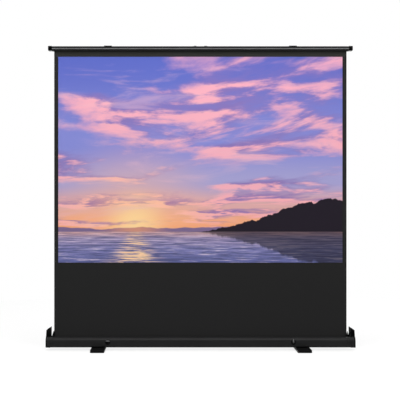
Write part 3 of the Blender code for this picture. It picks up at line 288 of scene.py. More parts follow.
def screw(name, spot, direction, material, body):
    """A domed screw head with a cross recess, seated at a spot and pointing along direction."""
    dome = [(rise * SCREW_HEAD, reach * SCREW_RADIUS) for rise, reach in SCREW_DOME]
    profile = [(0, 0), (0, SCREW_RADIUS)] + dome + [(SCREW_HEAD, 0)]
    head = turned(profile, (0, 0, 0), (0, 0, 1), SCREW_SIDES)
    half, arm = SCREW_CROSS / 2, SCREW_CROSS_REACH
    for square in ((1, 0, 0), (0, 1, 0)):
        for distance in (-arm, -half, half, arm):
            slice_through(head, Vector(square) * distance, square)
    cross = []
    for face in head.faces:
        middle = face.calc_center_median()
        near, far = sorted((abs(middle.x), abs(middle.y)))
        if middle.z > 0.3 * SCREW_HEAD and near < half and far < arm:
            cross.append(face)
    sunk = bmesh.ops.extrude_face_region(head, geom=cross)["geom"]
    bmesh.ops.delete(head, geom=cross, context="FACES")
    for item in sunk:
        if isinstance(item, bmesh.types.BMVert):
            item.co.z = SCREW_HEAD - SCREW_CROSS_DEPTH
    bmesh.ops.recalc_face_normals(head, faces=head.faces)
    bmesh.ops.transform(head, matrix=pointing(spot, direction), verts=head.verts)
    return finished(name, head, material, body)


def slanted_rib(top_x, low_x, side, stop=None):
    """A rib down the cup's front between two slanted cuts, ending on a third where one is given."""
    out = CAP_SKIN + RIB_PROUD
    under = CAP_SKIN - RIB_SUNK
    shape = drawn_section([
        (RIB_HEAD_Y, high.z + out, 0), (low.y - out, high.z + out, FRONT_ROUND + out),
        (low.y - out, low.z - out, LOWER_ROUND + out), (RIB_FOOT_Y, low.z - out, 0),
        (RIB_FOOT_Y, low.z - under, 0), (low.y - under, low.z - under, LOWER_ROUND + under),
        (low.y - under, high.z + under, FRONT_ROUND + under), (RIB_HEAD_Y, high.z + under, 0),
    ], sorted((side * (CAP_START - RIB_SPARE), side * (GLOSSY_START + RIB_SPARE))))
    start = Vector((side * top_x, 0, high.z))
    down = (Vector((side * low_x, 0, low.z)) - start).normalized()
    square = Vector((down.z, 0, -down.x))
    planes = [(start + square * RIB_WIDTH / 2 * way, square * way) for way in (-1, 1)]
    for point, outward in planes + ([stop] if stop else []):
        cut = slice_through(shape, point, outward, clear_outer=True)
        rim = [item for item in cut["geom_cut"] if isinstance(item, bmesh.types.BMEdge)]
        bmesh.ops.edgeloop_fill(shape, edges=rim)
    bmesh.ops.recalc_face_normals(shape, faces=shape.faces)
    return shape


grained_black = grain_finish(
    "grained_black", (0.0125, 0.0125, 0.0127), (0.0170, 0.0170, 0.0172), (0.34, 0.46), 0.0006,
    depth=0.00004, specular=0.08,
)
glossy_black = grain_finish(
    "glossy_black", (0.0006, 0.0006, 0.0006), (0.0014, 0.0014, 0.0014), (0.16, 0.26), 0.0025,
    depth=0.00001, specular=0.08,
)
blackened_steel = grain_finish(
    "blackened_steel", (0.02, 0.02, 0.02), (0.05, 0.05, 0.05), (0.3, 0.45), 0.001, metallic=0.8,
)

for word, side in (("left", -1), ("right", 1)):
    cap = with_eased_edges(
        f"end_moulding_{word}", f"end_cap_{word}", grained_black, "base", CAP_EASE,
        seam_x=side * GLOSSY_START,
    )
    cap.data.materials.append(glossy_black)
    for face in cap.data.polygons:
        above = face.center.z > high.z + CAP_SKIN + PLATE_STEP
        face.material_index = int(above or abs(face.center.x) > GLOSSY_START)
    inner_x = CAP_START + RIB_WIDTH / 2
    inner_rib = slanted_rib(inner_x, inner_x + CAP_SLANT, side)
    lean = Vector((side * CAP_SLANT, 0, low.z - high.z)).normalized()
    across_lean = Vector((lean.z, 0, -lean.x)) * side
    outer_rib = slanted_rib(
        RIB_TOP_X, RIB_TOP_X - CAP_SLANT, side, (Vector((side * inner_x, 0, high.z)), across_lean),
    )
    for place, rib in (("inner", inner_rib), ("outer", outer_rib)):
        finished(f"funnel_rib_{place}_{word}", rib, grained_black, "base")
    face_x = max(abs(corner.x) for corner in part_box(f"end_cap_{word}")) * side
    for number, (y, z) in enumerate(SCREW_PLACES, 1):
        screw(
            f"end_screw_{word}_{number}", (face_x, y, z), (side, 0, 0),
            blackened_steel, "base",
        )


# Feet. Pressed steel trays, black powder coated, on plain rubber soles. Each turns on a bolt and
# a nylon washer under the housing, to lie along it for carrying.

FOOT_CORNER = 0.012
FOOT_EDGE = 0.003
FOOT_SKIN = 0.002
PANEL_INSET = 0.010
PANEL_SINK = 0.0010
PANEL_START = 0.062
SOLE_CORNER = 0.011
SOLE_EASE = 0.0008


def rounded_block(low, high, axis, corner, steps):
    """A block between two corners, with its edges along one axis rounded."""
    shape = bmesh.new()
    size, middle = high - low, (high + low) / 2
    spot = Matrix.Translation(middle) @ Matrix.Diagonal((*size, 1))
    bmesh.ops.create_cube(shape, size=1, matrix=spot)
    along = [
        e for e in shape.edges
        if abs(e.verts[0].co[axis] - e.verts[1].co[axis]) > abs(size[axis]) / 2
    ]
    round_off(shape, along, corner, steps)
    return shape


def rim_edges(shape, axis, level):
    """The edges round a block that lie at one level of an axis."""
    return [e for e in shape.edges if all(abs(v.co[axis] - level) < MERGE_GAP for v in e.verts)]


powder_coat = grain_finish(
    "powder_coat", (0.0018, 0.0018, 0.0020), (0.0038, 0.0038, 0.0041), (0.50, 0.65), 0.0015,
    depth=0.00006, specular=0.08,
)
sole_rubber = grain_finish(
    "sole_rubber", (0.010, 0.010, 0.010), (0.022, 0.022, 0.022), (0.75, 0.9), 0.0008,
    depth=0.00008, specular=0.3,
)
grey_nylon = grain_finish(
    "grey_nylon", (0.22, 0.22, 0.21), (0.29, 0.29, 0.275), (0.42, 0.55), 0.002, depth=0.00001,
)
zinc_plating = grain_finish(
    "zinc_plating", (0.50, 0.50, 0.47), (0.63, 0.63, 0.60), (0.26, 0.42), 0.004,
    depth=0.00001, metallic=1.0,
)

for word in ("left", "right"):
    low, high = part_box(f"foot_{word}")
    tray = rounded_block(low, high, 2, FOOT_CORNER, 8)
    round_off(tray, rim_edges(tray, 2, high.z), FOOT_EDGE, 4)
    for end in (-1, 1):
        slice_through(tray, (0, end * PANEL_START, 0), (0, 1, 0))
    panels = [
        f for f in tray.faces
        if f.normal.z > 0.99 and abs(f.calc_center_median().y) > PANEL_START
    ]
    bmesh.ops.inset_individual(tray, faces=panels, thickness=PANEL_INSET)
    bmesh.ops.inset_individual(tray, faces=panels, thickness=2 * PANEL_SINK)
    moved = {v for f in panels for v in f.verts}
    bmesh.ops.translate(tray, verts=list(moved), vec=(0, 0, -PANEL_SINK))
    under = [f for f in tray.faces if f.normal.z < -0.99]
    bmesh.ops.delete(tray, geom=under, context="FACES")
    bmesh.ops.recalc_face_normals(tray, faces=tray.faces)
    foot = finished(f"foot_tray_{word}", tray, powder_coat, f"{word}_foot")
    wall = foot.modifiers.new("wall", "SOLIDIFY")
    wall.thickness = FOOT_SKIN
    wall.offset = -1
    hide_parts(f"foot_{word}")
    low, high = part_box(f"foot_sole_{word}")
    pad = rounded_block(low, high, 2, SOLE_CORNER, 8)
    round_off(pad, rim_edges(pad, 2, high.z) + rim_edges(pad, 2, low.z), SOLE_EASE, 3)
    sole = finished(f"foot_pad_{word}", pad, sole_rubber, f"{word}_foot")
    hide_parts(f"foot_sole_{word}")
    frame["nodes"][f"foot_washer_{word}"].material_slots[0].material = grey_nylon
    frame["nodes"][f"foot_bolt_{word}"].material_slots[0].material = zinc_plating


# Roller. An aluminium tube that holds the last turns of the sheet. A pin in its left plug and a
# spring on a fixed spindle in its right plug let it turn between two zinc-plated brackets.

BRACKET_EASE = 0.0004

satin_aluminium = grain_finish(
    "satin_aluminium", (0.55, 0.56, 0.57), (0.68, 0.69, 0.70), (0.30, 0.42), 0.0012,
    lay=(60, 1, 1), depth=0.00001, metallic=1.0,
)
oiled_spring_steel = grain_finish(
    "oiled_spring_steel", (0.16, 0.16, 0.17), (0.28, 0.28, 0.29), (0.25, 0.4), 0.001, metallic=1.0,
)
for node, metal in (
    ("roller_tube", satin_aluminium), ("roller_plug_left", grey_nylon),
    ("roller_plug_right", grey_nylon), ("roller_spindle", zinc_plating),
    ("roller_spring", oiled_spring_steel),
):
    frame["nodes"][node].material_slots[0].material = metal
for word in ("left", "right"):
    with_eased_edges(
        f"roller_plate_{word}", f"roller_bracket_{word}", zinc_plating,
        "base", BRACKET_EASE,
    )


# Sheet. Coated cloth, 0.8 mm thick: black behind, and in front a printed picture inside a black
# masking. It comes off the back of the roller and its top edge is clamped in the top bar.

PICTURE_HALF = 1.016
PICTURE_LOW = 0.6237
PICTURE_HIGH = 2.0947
CLOTH_SQUARES = 38
HEM_SHARE = 0.0022
ROLL_SIDES = 64
ROLL_GAP = 0.0003
ROLL_EDGE = 0.0003
HORIZON = 0.15
SUN = (0.27, 0.185)
HEADLAND_START = 0.46
MIRROR_START = 0.455

printed_front = bpy.data.materials.new("printed_front")
printed_front.use_nodes = True
paint_nodes, paint_links = printed_front.node_tree.nodes, printed_front.node_tree.links


def feed(socket, value):
    """Links a socket to another one, or sets it to a number or a colour."""
    if isinstance(value, bpy.types.NodeSocket):
        paint_links.new(value, socket)
    elif isinstance(value, tuple):
        socket.default_value = (*value, 1) if len(socket.default_value) == 4 else value
    else:
        socket.default_value = value


def calc(operation, *values, clamp=False):
    """One step of arithmetic on the print."""
    return arithmetic(printed_front.node_tree, operation, *values, clamp=clamp)


def fade(value, start, end):
    """0 before start, 1 after end, and a soft slope between."""
    node = paint_nodes.new("ShaderNodeMapRange")
    node.interpolation_type = "SMOOTHSTEP"
    feed(node.inputs["Value"], value)
    feed(node.inputs["From Min"], start)
    feed(node.inputs["From Max"], end)
    return node.outputs["Result"]


def over(amount, below, above, way="MIX"):
    """One colour laid over another by an amount."""
    node = paint_nodes.new("ShaderNodeMix")
    node.data_type = "RGBA"
    node.blend_type = way
    feed(node.inputs[0], amount)
    feed(node.inputs[6], below)
    feed(node.inputs[7], above)
    return node.outputs[2]


def at(x, y, z=0.0):
    """A place to read a texture at."""
    node = paint_nodes.new("ShaderNodeCombineXYZ")
    for socket, value in zip(node.inputs, (x, y, z)):
        feed(socket, value)
    return node.outputs[0]


def mottle(place, scale, detail=6.0, rough=0.55, twist=0.0):
    """Drifting noise, for clouds, hills and ripples."""
    node = paint_nodes.new("ShaderNodeTexNoise")
    node.inputs["Scale"].default_value = scale
    node.inputs["Detail"].default_value = detail
    node.inputs["Roughness"].default_value = rough
    node.inputs["Distortion"].default_value = twist
    paint_links.new(place, node.inputs["Vector"])
    return node.outputs["Fac"]


def ramp(value, stops):
    """A run of colours along a value."""
    node = paint_nodes.new("ShaderNodeValToRGB")
    node.color_ramp.interpolation = "EASE"
    while len(node.color_ramp.elements) < len(stops):
        node.color_ramp.elements.new(0.5)
    for element, (place, colour) in zip(node.color_ramp.elements, stops):
        element.position = place
        element.color = (*colour, 1)
    feed(node.inputs["Fac"], value)
    return node.outputs["Color"]


sheet_low, sheet_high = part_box("screen_sheet")
sheet_width, sheet_drop = sheet_high.x - sheet_low.x, sheet_high.z - sheet_low.z

spot = paint_nodes.new("ShaderNodeUVMap")
spot.uv_map = "cut"
split = paint_nodes.new("ShaderNodeSeparateXYZ")
paint_links.new(spot.outputs["UV"], split.inputs[0])
across = calc("MULTIPLY_ADD", split.outputs[0], sheet_width / (2 * PICTURE_HALF),
              0.5 - sheet_width / (4 * PICTURE_HALF))
up = calc("MULTIPLY_ADD", split.outputs[1], sheet_drop / (PICTURE_HIGH - PICTURE_LOW),
          (sheet_low.z - PICTURE_LOW) / (PICTURE_HIGH - PICTURE_LOW))
shape_ratio = 2 * PICTURE_HALF / (PICTURE_HIGH - PICTURE_LOW)
wide = calc("MULTIPLY", across, shape_ratio)

# The open sky, warm at the horizon and blue-violet overhead, round a low sun in the left third
rise = calc("DIVIDE", calc("SUBTRACT", up, HORIZON), 1 - HORIZON, clamp=True)
sky = ramp(rise, [
    (0.00, (0.88, 0.32, 0.13)), (0.06, (0.88, 0.40, 0.23)), (0.15, (0.70, 0.39, 0.38)),
    (0.28, (0.36, 0.34, 0.60)), (0.50, (0.22, 0.24, 0.60)), (1.00, (0.10, 0.13, 0.48)),
])
sun_x = calc("MULTIPLY", calc("SUBTRACT", across, SUN[0]), shape_ratio)
sun_y = calc("SUBTRACT", up, SUN[1])
sun_gap = calc("SQRT", calc("ADD", calc("MULTIPLY", sun_x, sun_x), calc("MULTIPLY", sun_y, sun_y)))
wide_glow = fade(sun_gap, 0.50, 0.0)
near_glow = fade(sun_gap, 0.20, 0.0)
sky = over(calc("MULTIPLY", wide_glow, 0.55), sky, (0.98, 0.48, 0.24))
sky = over(calc("MULTIPLY", near_glow, 0.85), sky, (1.0, 0.72, 0.34))

# Cloud banks that stretch out towards the horizon, lit from below and from the sun's side
depth = calc("DIVIDE", 1.0, calc("ADD", rise, 0.30))
cloud_at = at(calc("MULTIPLY", wide, depth), calc("MULTIPLY", depth, 2.6), 3.7)
lit_at = at(calc("MULTIPLY", calc("SUBTRACT", wide, 0.05), depth),
            calc("MULTIPLY", calc("ADD", depth, 0.05), 2.6), 3.7)
body_of_cloud = mottle(cloud_at, 1.15, 8.0, 0.58, 0.35)
towards_sun = mottle(lit_at, 1.15, 8.0, 0.58, 0.35)
cover = fade(calc("MULTIPLY_ADD", rise, 0.05, body_of_cloud), 0.48, 0.64)
light = fade(calc("SUBTRACT", body_of_cloud, towards_sun), -0.035, 0.045)
shade = over(wide_glow, (0.24, 0.16, 0.42), (0.46, 0.22, 0.32))
bright = over(wide_glow, (0.92, 0.42, 0.46), (1.0, 0.56, 0.34))
sky = over(calc("MULTIPLY", cover, 0.88), sky, over(light, shade, bright))
wisps = mottle(at(calc("MULTIPLY", wide, 1.2), calc("MULTIPLY", up, 7.0), 9.1), 1.7, 7.0, 0.62, 0.6)
sky = over(calc("MULTIPLY", fade(wisps, 0.52, 0.75), 0.40), sky, (0.80, 0.48, 0.55))

# Far hills across the left, and a dark wooded headland that runs out from the right
far_top = calc("MULTIPLY_ADD", mottle(at(wide, 0.0, 1.3), 3.2, 4.0), 0.075, HORIZON - 0.018)
sky = over(fade(calc("SUBTRACT", far_top, up), -0.002, 0.002), sky,
           over(near_glow, (0.20, 0.14, 0.27), (0.62, 0.28, 0.20)))
land = fade(across, HEADLAND_START, 1.02)
tree_line = calc("MULTIPLY_ADD", mottle(at(wide, 0.0, 7.7), 55.0, 3.0), 0.030, -0.012)
ridge = calc("MULTIPLY_ADD", mottle(at(wide, 0.0, 4.4), 4.5, 3.0), 0.20, 0.06)
woods = calc("MULTIPLY_ADD", tree_line, fade(across, HEADLAND_START, 0.60), HORIZON - 0.004)
head_top = calc("ADD", calc("MULTIPLY", land, ridge), woods)
head_edge = fade(calc("SUBTRACT", head_top, up), -0.0015, 0.0015)
head_mask = calc("MULTIPLY", head_edge, fade(across, MIRROR_START, 0.475))
sky = over(head_mask, sky, (0.018, 0.014, 0.022))

# Water: the sky's colours below the horizon, broken by ripples, with the sun's path on it
sink = calc("DIVIDE", calc("SUBTRACT", HORIZON, up), HORIZON, clamp=True)
water = ramp(sink, [
    (0.0, (0.66, 0.38, 0.36)), (0.25, (0.36, 0.30, 0.50)), (0.6, (0.22, 0.22, 0.47)),
    (1.0, (0.14, 0.155, 0.38)),
])
ripple_at = at(calc("MULTIPLY", wide, 5.0), calc("MULTIPLY", calc("POWER", sink, 0.6), 30.0), 0.4)
ripples = mottle(ripple_at, 1.6, 5.0, 0.6, 0.3)
water = over(calc("MULTIPLY", fade(ripples, 0.54, 0.40), 0.85), water, (0.085, 0.09, 0.20))
water = over(calc("MULTIPLY", fade(ripples, 0.55, 0.66), 0.80), water, (0.74, 0.62, 0.72))
path = calc("DIVIDE", calc("ABSOLUTE", sun_x), calc("MULTIPLY_ADD", sink, 0.16, 0.035))
gleam = calc("MULTIPLY", fade(path, 1.0, 0.2), fade(ripples, 0.46, 0.58))
water = over(gleam, water, (1.0, 0.66, 0.36))
mirror_top = calc("SUBTRACT", 2 * HORIZON, head_top)
mirror_edge = fade(calc("SUBTRACT", up, mirror_top), -0.012, 0.004)
in_mirror = calc("MULTIPLY", mirror_edge, fade(across, MIRROR_START, 0.50))
water = over(calc("MULTIPLY", in_mirror, 0.8), water, (0.026, 0.024, 0.040))
picture = over(fade(up, HORIZON - 0.0012, HORIZON + 0.0012), water, sky)

# The black masking round the picture, a shade lighter above it, with a fine coated grain
grain_at = paint_nodes.new("ShaderNodeTexCoord").outputs["Object"]
coat_grain = mottle(grain_at, 900.0, 2.0)
drift = mottle(grain_at, 3.0, 2.0)
masking = over(coat_grain, (0.0165, 0.0165, 0.0167), (0.0200, 0.0200, 0.0201))
above_picture = over(drift, (0.026, 0.026, 0.0245), (0.031, 0.031, 0.029))
masking = over(fade(up, 0.999, 1.001), masking, above_picture)
right_hem = calc("GREATER_THAN", split.outputs[0], 1 - HEM_SHARE)
left_hem = calc("LESS_THAN", split.outputs[0], HEM_SHARE)
masking = over(calc("MAXIMUM", right_hem, left_hem), masking, (0.004, 0.004, 0.004))
inside = calc("MULTIPLY",
              calc("MULTIPLY", calc("GREATER_THAN", across, 0.0), calc("LESS_THAN", across, 1.0)),
              calc("MULTIPLY", calc("GREATER_THAN", up, 0.0), calc("LESS_THAN", up, 1.0)))
paint_shader = paint_nodes["Principled BSDF"]
paint_links.new(over(inside, masking, picture), paint_shader.inputs["Base Color"])
paint_shader.inputs["Roughness"].default_value = 0.7
paint_shader.inputs["Specular IOR Level"].default_value = 0.06
coat_relief = paint_nodes.new("ShaderNodeBump")
coat_relief.inputs["Distance"].default_value = 0.00002
paint_links.new(coat_grain, coat_relief.inputs["Height"])
paint_links.new(coat_relief.outputs["Normal"], paint_shader.inputs["Normal"])

cloth_back = grain_finish(
    "cloth_back", (0.009, 0.009, 0.009), (0.016, 0.016, 0.016), (0.7, 0.85), 0.0009,
    depth=0.00005, specular=0.3,
)

cloth = bmesh.new()
bmesh.ops.create_grid(
    cloth, x_segments=CLOTH_SQUARES, y_segments=CLOTH_SQUARES, size=0.5,
)
for face in cloth.faces:
    face.normal_update()
sheet_middle = (sheet_low + sheet_high) / 2
lay_up = Matrix.Translation((sheet_middle.x, sheet_low.y, sheet_middle.z))
stand = Matrix.Rotation(math.pi / 2, 4, "X")
full_size = Matrix.Diagonal((sheet_width, sheet_drop, 1, 1))
bmesh.ops.transform(cloth, matrix=lay_up @ stand @ full_size, verts=cloth.verts)
front = cloth.faces[:]
back = bmesh.ops.duplicate(cloth, geom=front)
back_faces = [item for item in back["geom"] if isinstance(item, bmesh.types.BMFace)]
back_verts = [item for item in back["geom"] if isinstance(item, bmesh.types.BMVert)]
bmesh.ops.translate(cloth, verts=back_verts, vec=(0, sheet_high.y - sheet_low.y, 0))
bmesh.ops.reverse_faces(cloth, faces=back_faces)
bmesh.ops.bridge_loops(cloth, edges=[e for e in cloth.edges if e.is_boundary])
bmesh.ops.recalc_face_normals(cloth, faces=cloth.faces)
cut = cloth.loops.layers.uv.new("cut")
for face in cloth.faces:
    face.material_index = 0 if face.normal.y < -0.5 else 1
    for loop in face.loops:
        away = loop.vert.co - sheet_low
        loop[cut].uv = (away.x / sheet_width, away.z / sheet_drop)
screen_cloth = finished("screen_cloth", cloth, printed_front, "base")
screen_cloth.data.materials.append(cloth_back)
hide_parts("screen_sheet")
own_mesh(screen_cloth)

low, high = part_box("sheet_roll")
roll_outside, roll_half = (high.y - low.y) / 2, (high.x - low.x) / 2
tube_low, tube_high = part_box("roller_tube")
roll_inside = (tube_high.y - tube_low.y) / 2 + ROLL_GAP
turns = turned([
    (-roll_half, roll_inside), (-roll_half, roll_outside - ROLL_EDGE),
    (-roll_half + ROLL_EDGE, roll_outside), (roll_half - ROLL_EDGE, roll_outside),
    (roll_half, roll_outside - ROLL_EDGE), (roll_half, roll_inside),
], (low + high) / 2, (1, 0, 0), ROLL_SIDES)
rolled_turns = finished("rolled_turns", turns, cloth_back, "roller")
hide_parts("sheet_roll")


# Scissor arms. Four equal aluminium bars, 22 x 11 mm, with a shallow channel drawn into both
# faces, satin anodised. Two stand in a front plane and two behind them.

ARM_LEAN = math.radians(57.65)
ARM_EASE = 0.0006

arm_finishes = {}
for word, turn in (("right", -ARM_LEAN), ("left", ARM_LEAN - math.pi)):
    arm_finishes[word] = grain_finish(
        f"drawn_aluminium_{word}", (0.50, 0.51, 0.52), (0.66, 0.67, 0.68), (0.28, 0.42), 0.0010,
        lay=(80, 1, 1), turn=turn, depth=0.00001, metallic=1.0,
    )
for node, body, lean in (
    ("lower_front_arm", "lower_front", "right"), ("lower_rear_arm", "lower_rear", "left"),
    ("upper_rear_arm", "upper_rear", "left"), ("upper_front_arm", "upper_front", "right"),
):
    with_eased_edges(f"{node}_bar", node, arm_finishes[lean], body, ARM_EASE)


# Pivots. Zinc-plated rivets with low domed heads through each pair of arms, and nylon washers
# that keep the two planes of arms apart.

RIVET_SIDES = 32
RIVET_RADIUS = 0.004
RIVET_HEAD = 0.0024
RIVET_DOME = ((1.00, 1.00), (0.75, 1.00), (0.35, 0.83), (0.10, 0.50), (0.00, 0.20))
RIVET_SHARP = 40
WASHER_GAP = 0.0003
WASHER_EASE = 0.0004

for node, body in (
    ("lower_centre_pin", "lower_front"), ("right_elbow_pin", "lower_front"),
    ("left_elbow_pin", "lower_rear"), ("upper_centre_pin", "upper_rear"),
    ("base_pivot_pin", "base"), ("top_pivot_pin", "lid"),
    ("base_slider_pin", "base_slide"), ("top_slider_pin", "top_slide"),
):
    low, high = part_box(node)
    half, edge = (high.y - low.y) / 2, (high.x - low.x) / 2
    dome = [(half - drop * RIVET_HEAD, reach * edge) for drop, reach in RIVET_DOME]
    head = [(half - RIVET_HEAD, RIVET_RADIUS)] + dome + [(half, 0)]
    profile = [(-along, radius) for along, radius in reversed(head)] + head
    rivet = finished(
        node.replace("pin", "rivet"), turned(profile, (low + high) / 2, (0, 1, 0), RIVET_SIDES),
        zinc_plating, body, RIVET_SHARP,
    )
    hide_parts(node)

for node, body in (
    ("lower_centre_washer", "lower_front"), ("right_elbow_washer", "lower_front"),
    ("left_elbow_washer", "lower_rear"), ("upper_centre_washer", "upper_rear"),
):
    low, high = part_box(node)
    half, edge = (high.y - low.y) / 2, (high.x - low.x) / 2
    bore = RIVET_RADIUS + WASHER_GAP
    profile = [
        (-half, bore), (-half, edge - WASHER_EASE), (-half + WASHER_EASE, edge),
        (half - WASHER_EASE, edge), (half, edge - WASHER_EASE), (half, bore),
    ]
    disc = finished(
        node.replace("washer", "spacer"), turned(profile, (low + high) / 2, (0, 1, 0), RIVET_SIDES),
        grey_nylon, body, RIVET_SHARP,
    )
    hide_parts(node)


# Fixed pivots at the left. Pressed zinc-plated brackets, one riveted to the housing's floor and one
# inside the top bar, and the torsion spring that helps the arms up.

COIL_RADIUS = 0.0068
COIL_WIRE = 0.0012
COIL_CURLS = 3
COIL_POINTS = 28
COIL_SMOOTHNESS = 4
WIRE_SHARP = 50


def round_wire(points, radius, smoothness):
    """A round wire along a line of points, closed at both ends."""
    curve = bpy.data.curves.new("wire_line", "CURVE")
    curve.dimensions = "3D"
    curve.bevel_depth = radius
    curve.bevel_resolution = smoothness
    curve.use_fill_caps = True
    line = curve.splines.new("POLY")
    line.points.add(len(points) - 1)
    for point, place in zip(line.points, points):
        point.co = (*place, 1)
    bent = bpy.data.objects.new("wire_line", curve)
    bpy.context.scene.collection.objects.link(bent)
    bpy.context.view_layer.update()
    drawn = bent.evaluated_get(bpy.context.evaluated_depsgraph_get())
    mesh = bpy.data.meshes.new_from_object(drawn)
    bpy.data.objects.remove(bent)
    shape = bmesh.new()
    shape.from_mesh(mesh)
    bmesh.ops.remove_doubles(shape, verts=shape.verts, dist=MERGE_GAP)
    bmesh.ops.recalc_face_normals(shape, faces=shape.faces)
    return shape


for place, body in (("base", "base"), ("top", "lid")):
    with_eased_edges(
        f"{place}_pivot_plate", f"{place}_bracket", zinc_plating, body, BRACKET_EASE,
    )

low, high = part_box("lift_spring")
coil_x, coil_z = (low.x + high.x) / 2, (low.z + high.z) / 2
coil_line = []
for number in range(COIL_CURLS * COIL_POINTS + 1):
    share = number / (COIL_CURLS * COIL_POINTS)
    turn = math.tau * COIL_CURLS * share
    y = low.y + COIL_WIRE + share * (high.y - low.y - 2 * COIL_WIRE)
    coil_line.append(
        (coil_x + COIL_RADIUS * math.sin(turn), y, coil_z + COIL_RADIUS * math.cos(turn))
    )
lift_coil = finished(
    "lift_coil", round_wire(coil_line, COIL_WIRE, COIL_SMOOTHNESS),
    oiled_spring_steel, "base", WIRE_SHARP,
)
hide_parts("lift_spring")


# Slides at the right. A nylon block on the moving end of each arm pair runs in an aluminium
# channel, one on the housing's floor and one inside the top bar.

SLIDE_EASE = 0.0008

for place in ("base", "top"):
    frame["nodes"][f"{place}_track"].material_slots[0].material = satin_aluminium
    with_eased_edges(
        f"{place}_slide_block", f"{place}_slider", grey_nylon,
        f"{place}_slide", SLIDE_EASE,
    )


# Top bar. An extruded aluminium channel, open below, satin black like the housing, with a bead
# along its front and under it a lighter grey strip, a painted highlight for the bar's line of
# light.
# A strip clamps the sheet to a fin inside it.

BAR_WALL = 0.002
BEAD_TOP = 0.0094
BEAD_BOTTOM = 0.0146
BEAD_SLOPE = 0.0013
BEAD_PROUD = 0.0012
HIGHLIGHT_STRIP_HEIGHT = 0.0052
FRONT_SLACK = 0.0004
FIN_Y = (-0.0011, 0.0019)
FIN_DROP = 0.017
BAR_FRONT_ROUND = 0.004
BAR_REAR_ROUND = 0.003

low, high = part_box("top_bar")
bar_front, bar_rear = low.y + BEAD_PROUD, high.y
roof, top = high.z - BAR_WALL, high.z
bar_corners = [
    (bar_front, low.z, LIP_EASE),
    (bar_front, top - BEAD_BOTTOM, LIP_EASE),
    (low.y, top - BEAD_BOTTOM + BEAD_SLOPE, LIP_EASE),
    (low.y, top - BEAD_TOP - BEAD_SLOPE, LIP_EASE),
    (bar_front, top - BEAD_TOP, LIP_EASE),
    (bar_front, top, BAR_FRONT_ROUND),
    (bar_rear, top, BAR_REAR_ROUND),
    (bar_rear, low.z, LIP_EASE),
    (bar_rear - BAR_WALL, low.z, LIP_EASE),
    (bar_rear - BAR_WALL, roof, BAR_REAR_ROUND - BAR_WALL),
    (FIN_Y[1], roof, LIP_EASE),
    (FIN_Y[1], roof - FIN_DROP, LIP_EASE),
    (FIN_Y[0], roof - FIN_DROP, LIP_EASE),
    (FIN_Y[0], roof, LIP_EASE),
    (bar_front + BAR_WALL, roof, BAR_FRONT_ROUND - BAR_WALL),
    (bar_front + BAR_WALL, low.z, LIP_EASE),
]
# The strip's grey, lighter and partly metallic against the black bar, is a painted highlight.
bright_cut = grain_finish(
    "bright_cut", (0.17, 0.17, 0.175), (0.24, 0.24, 0.245), (0.30, 0.40), 0.0012,
    lay=(60, 1, 1), depth=0.00001, metallic=0.3,
)
bar_section = drawn_section(bar_corners, (low.x, high.x))
highlight_strip_top = top - BEAD_BOTTOM
flat = next(
    f for f in bar_section.faces
    if f.normal.y < -0.99 and low.z < f.calc_center_median().z < highlight_strip_top
    and abs(f.calc_center_median().y - bar_front) < SAME_PLACE
)
bmesh.ops.bisect_plane(
    bar_section, geom=[flat] + list(flat.edges) + list(flat.verts),
    plane_co=(0, 0, highlight_strip_top - HIGHLIGHT_STRIP_HEIGHT), plane_no=(0, 0, 1),
)
# The flat band just under the bead takes the painted highlight.
for face in bar_section.faces:
    middle = face.calc_center_median()
    on_front = face.normal.y < -0.5 and abs(middle.y - bar_front) < FRONT_SLACK
    face.material_index = int(on_front and highlight_strip_top - HIGHLIGHT_STRIP_HEIGHT < middle.z < highlight_strip_top)
bar_shell = finished("top_bar_shell", bar_section, black_anodising, "lid")
bar_shell.data.materials.append(bright_cut)
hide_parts("top_bar")
frame["nodes"]["sheet_clamp_strip"].material_slots[0].material = satin_aluminium


# Top bar caps. Black mouldings with rounded corners, each plugged into one end of the bar by a
# tongue and held by a screw in its outer face.

BAR_CAP_CORNER = 0.007
BAR_CAP_EDGE = 0.005
BAR_CAP_REACH = 0.028
TONGUE_Y = (0.027, 0.0434)
TONGUE_Z = (2.1397, 2.1661)
TONGUE_REACH = 0.012
MOUTH_INSET = 0.0015

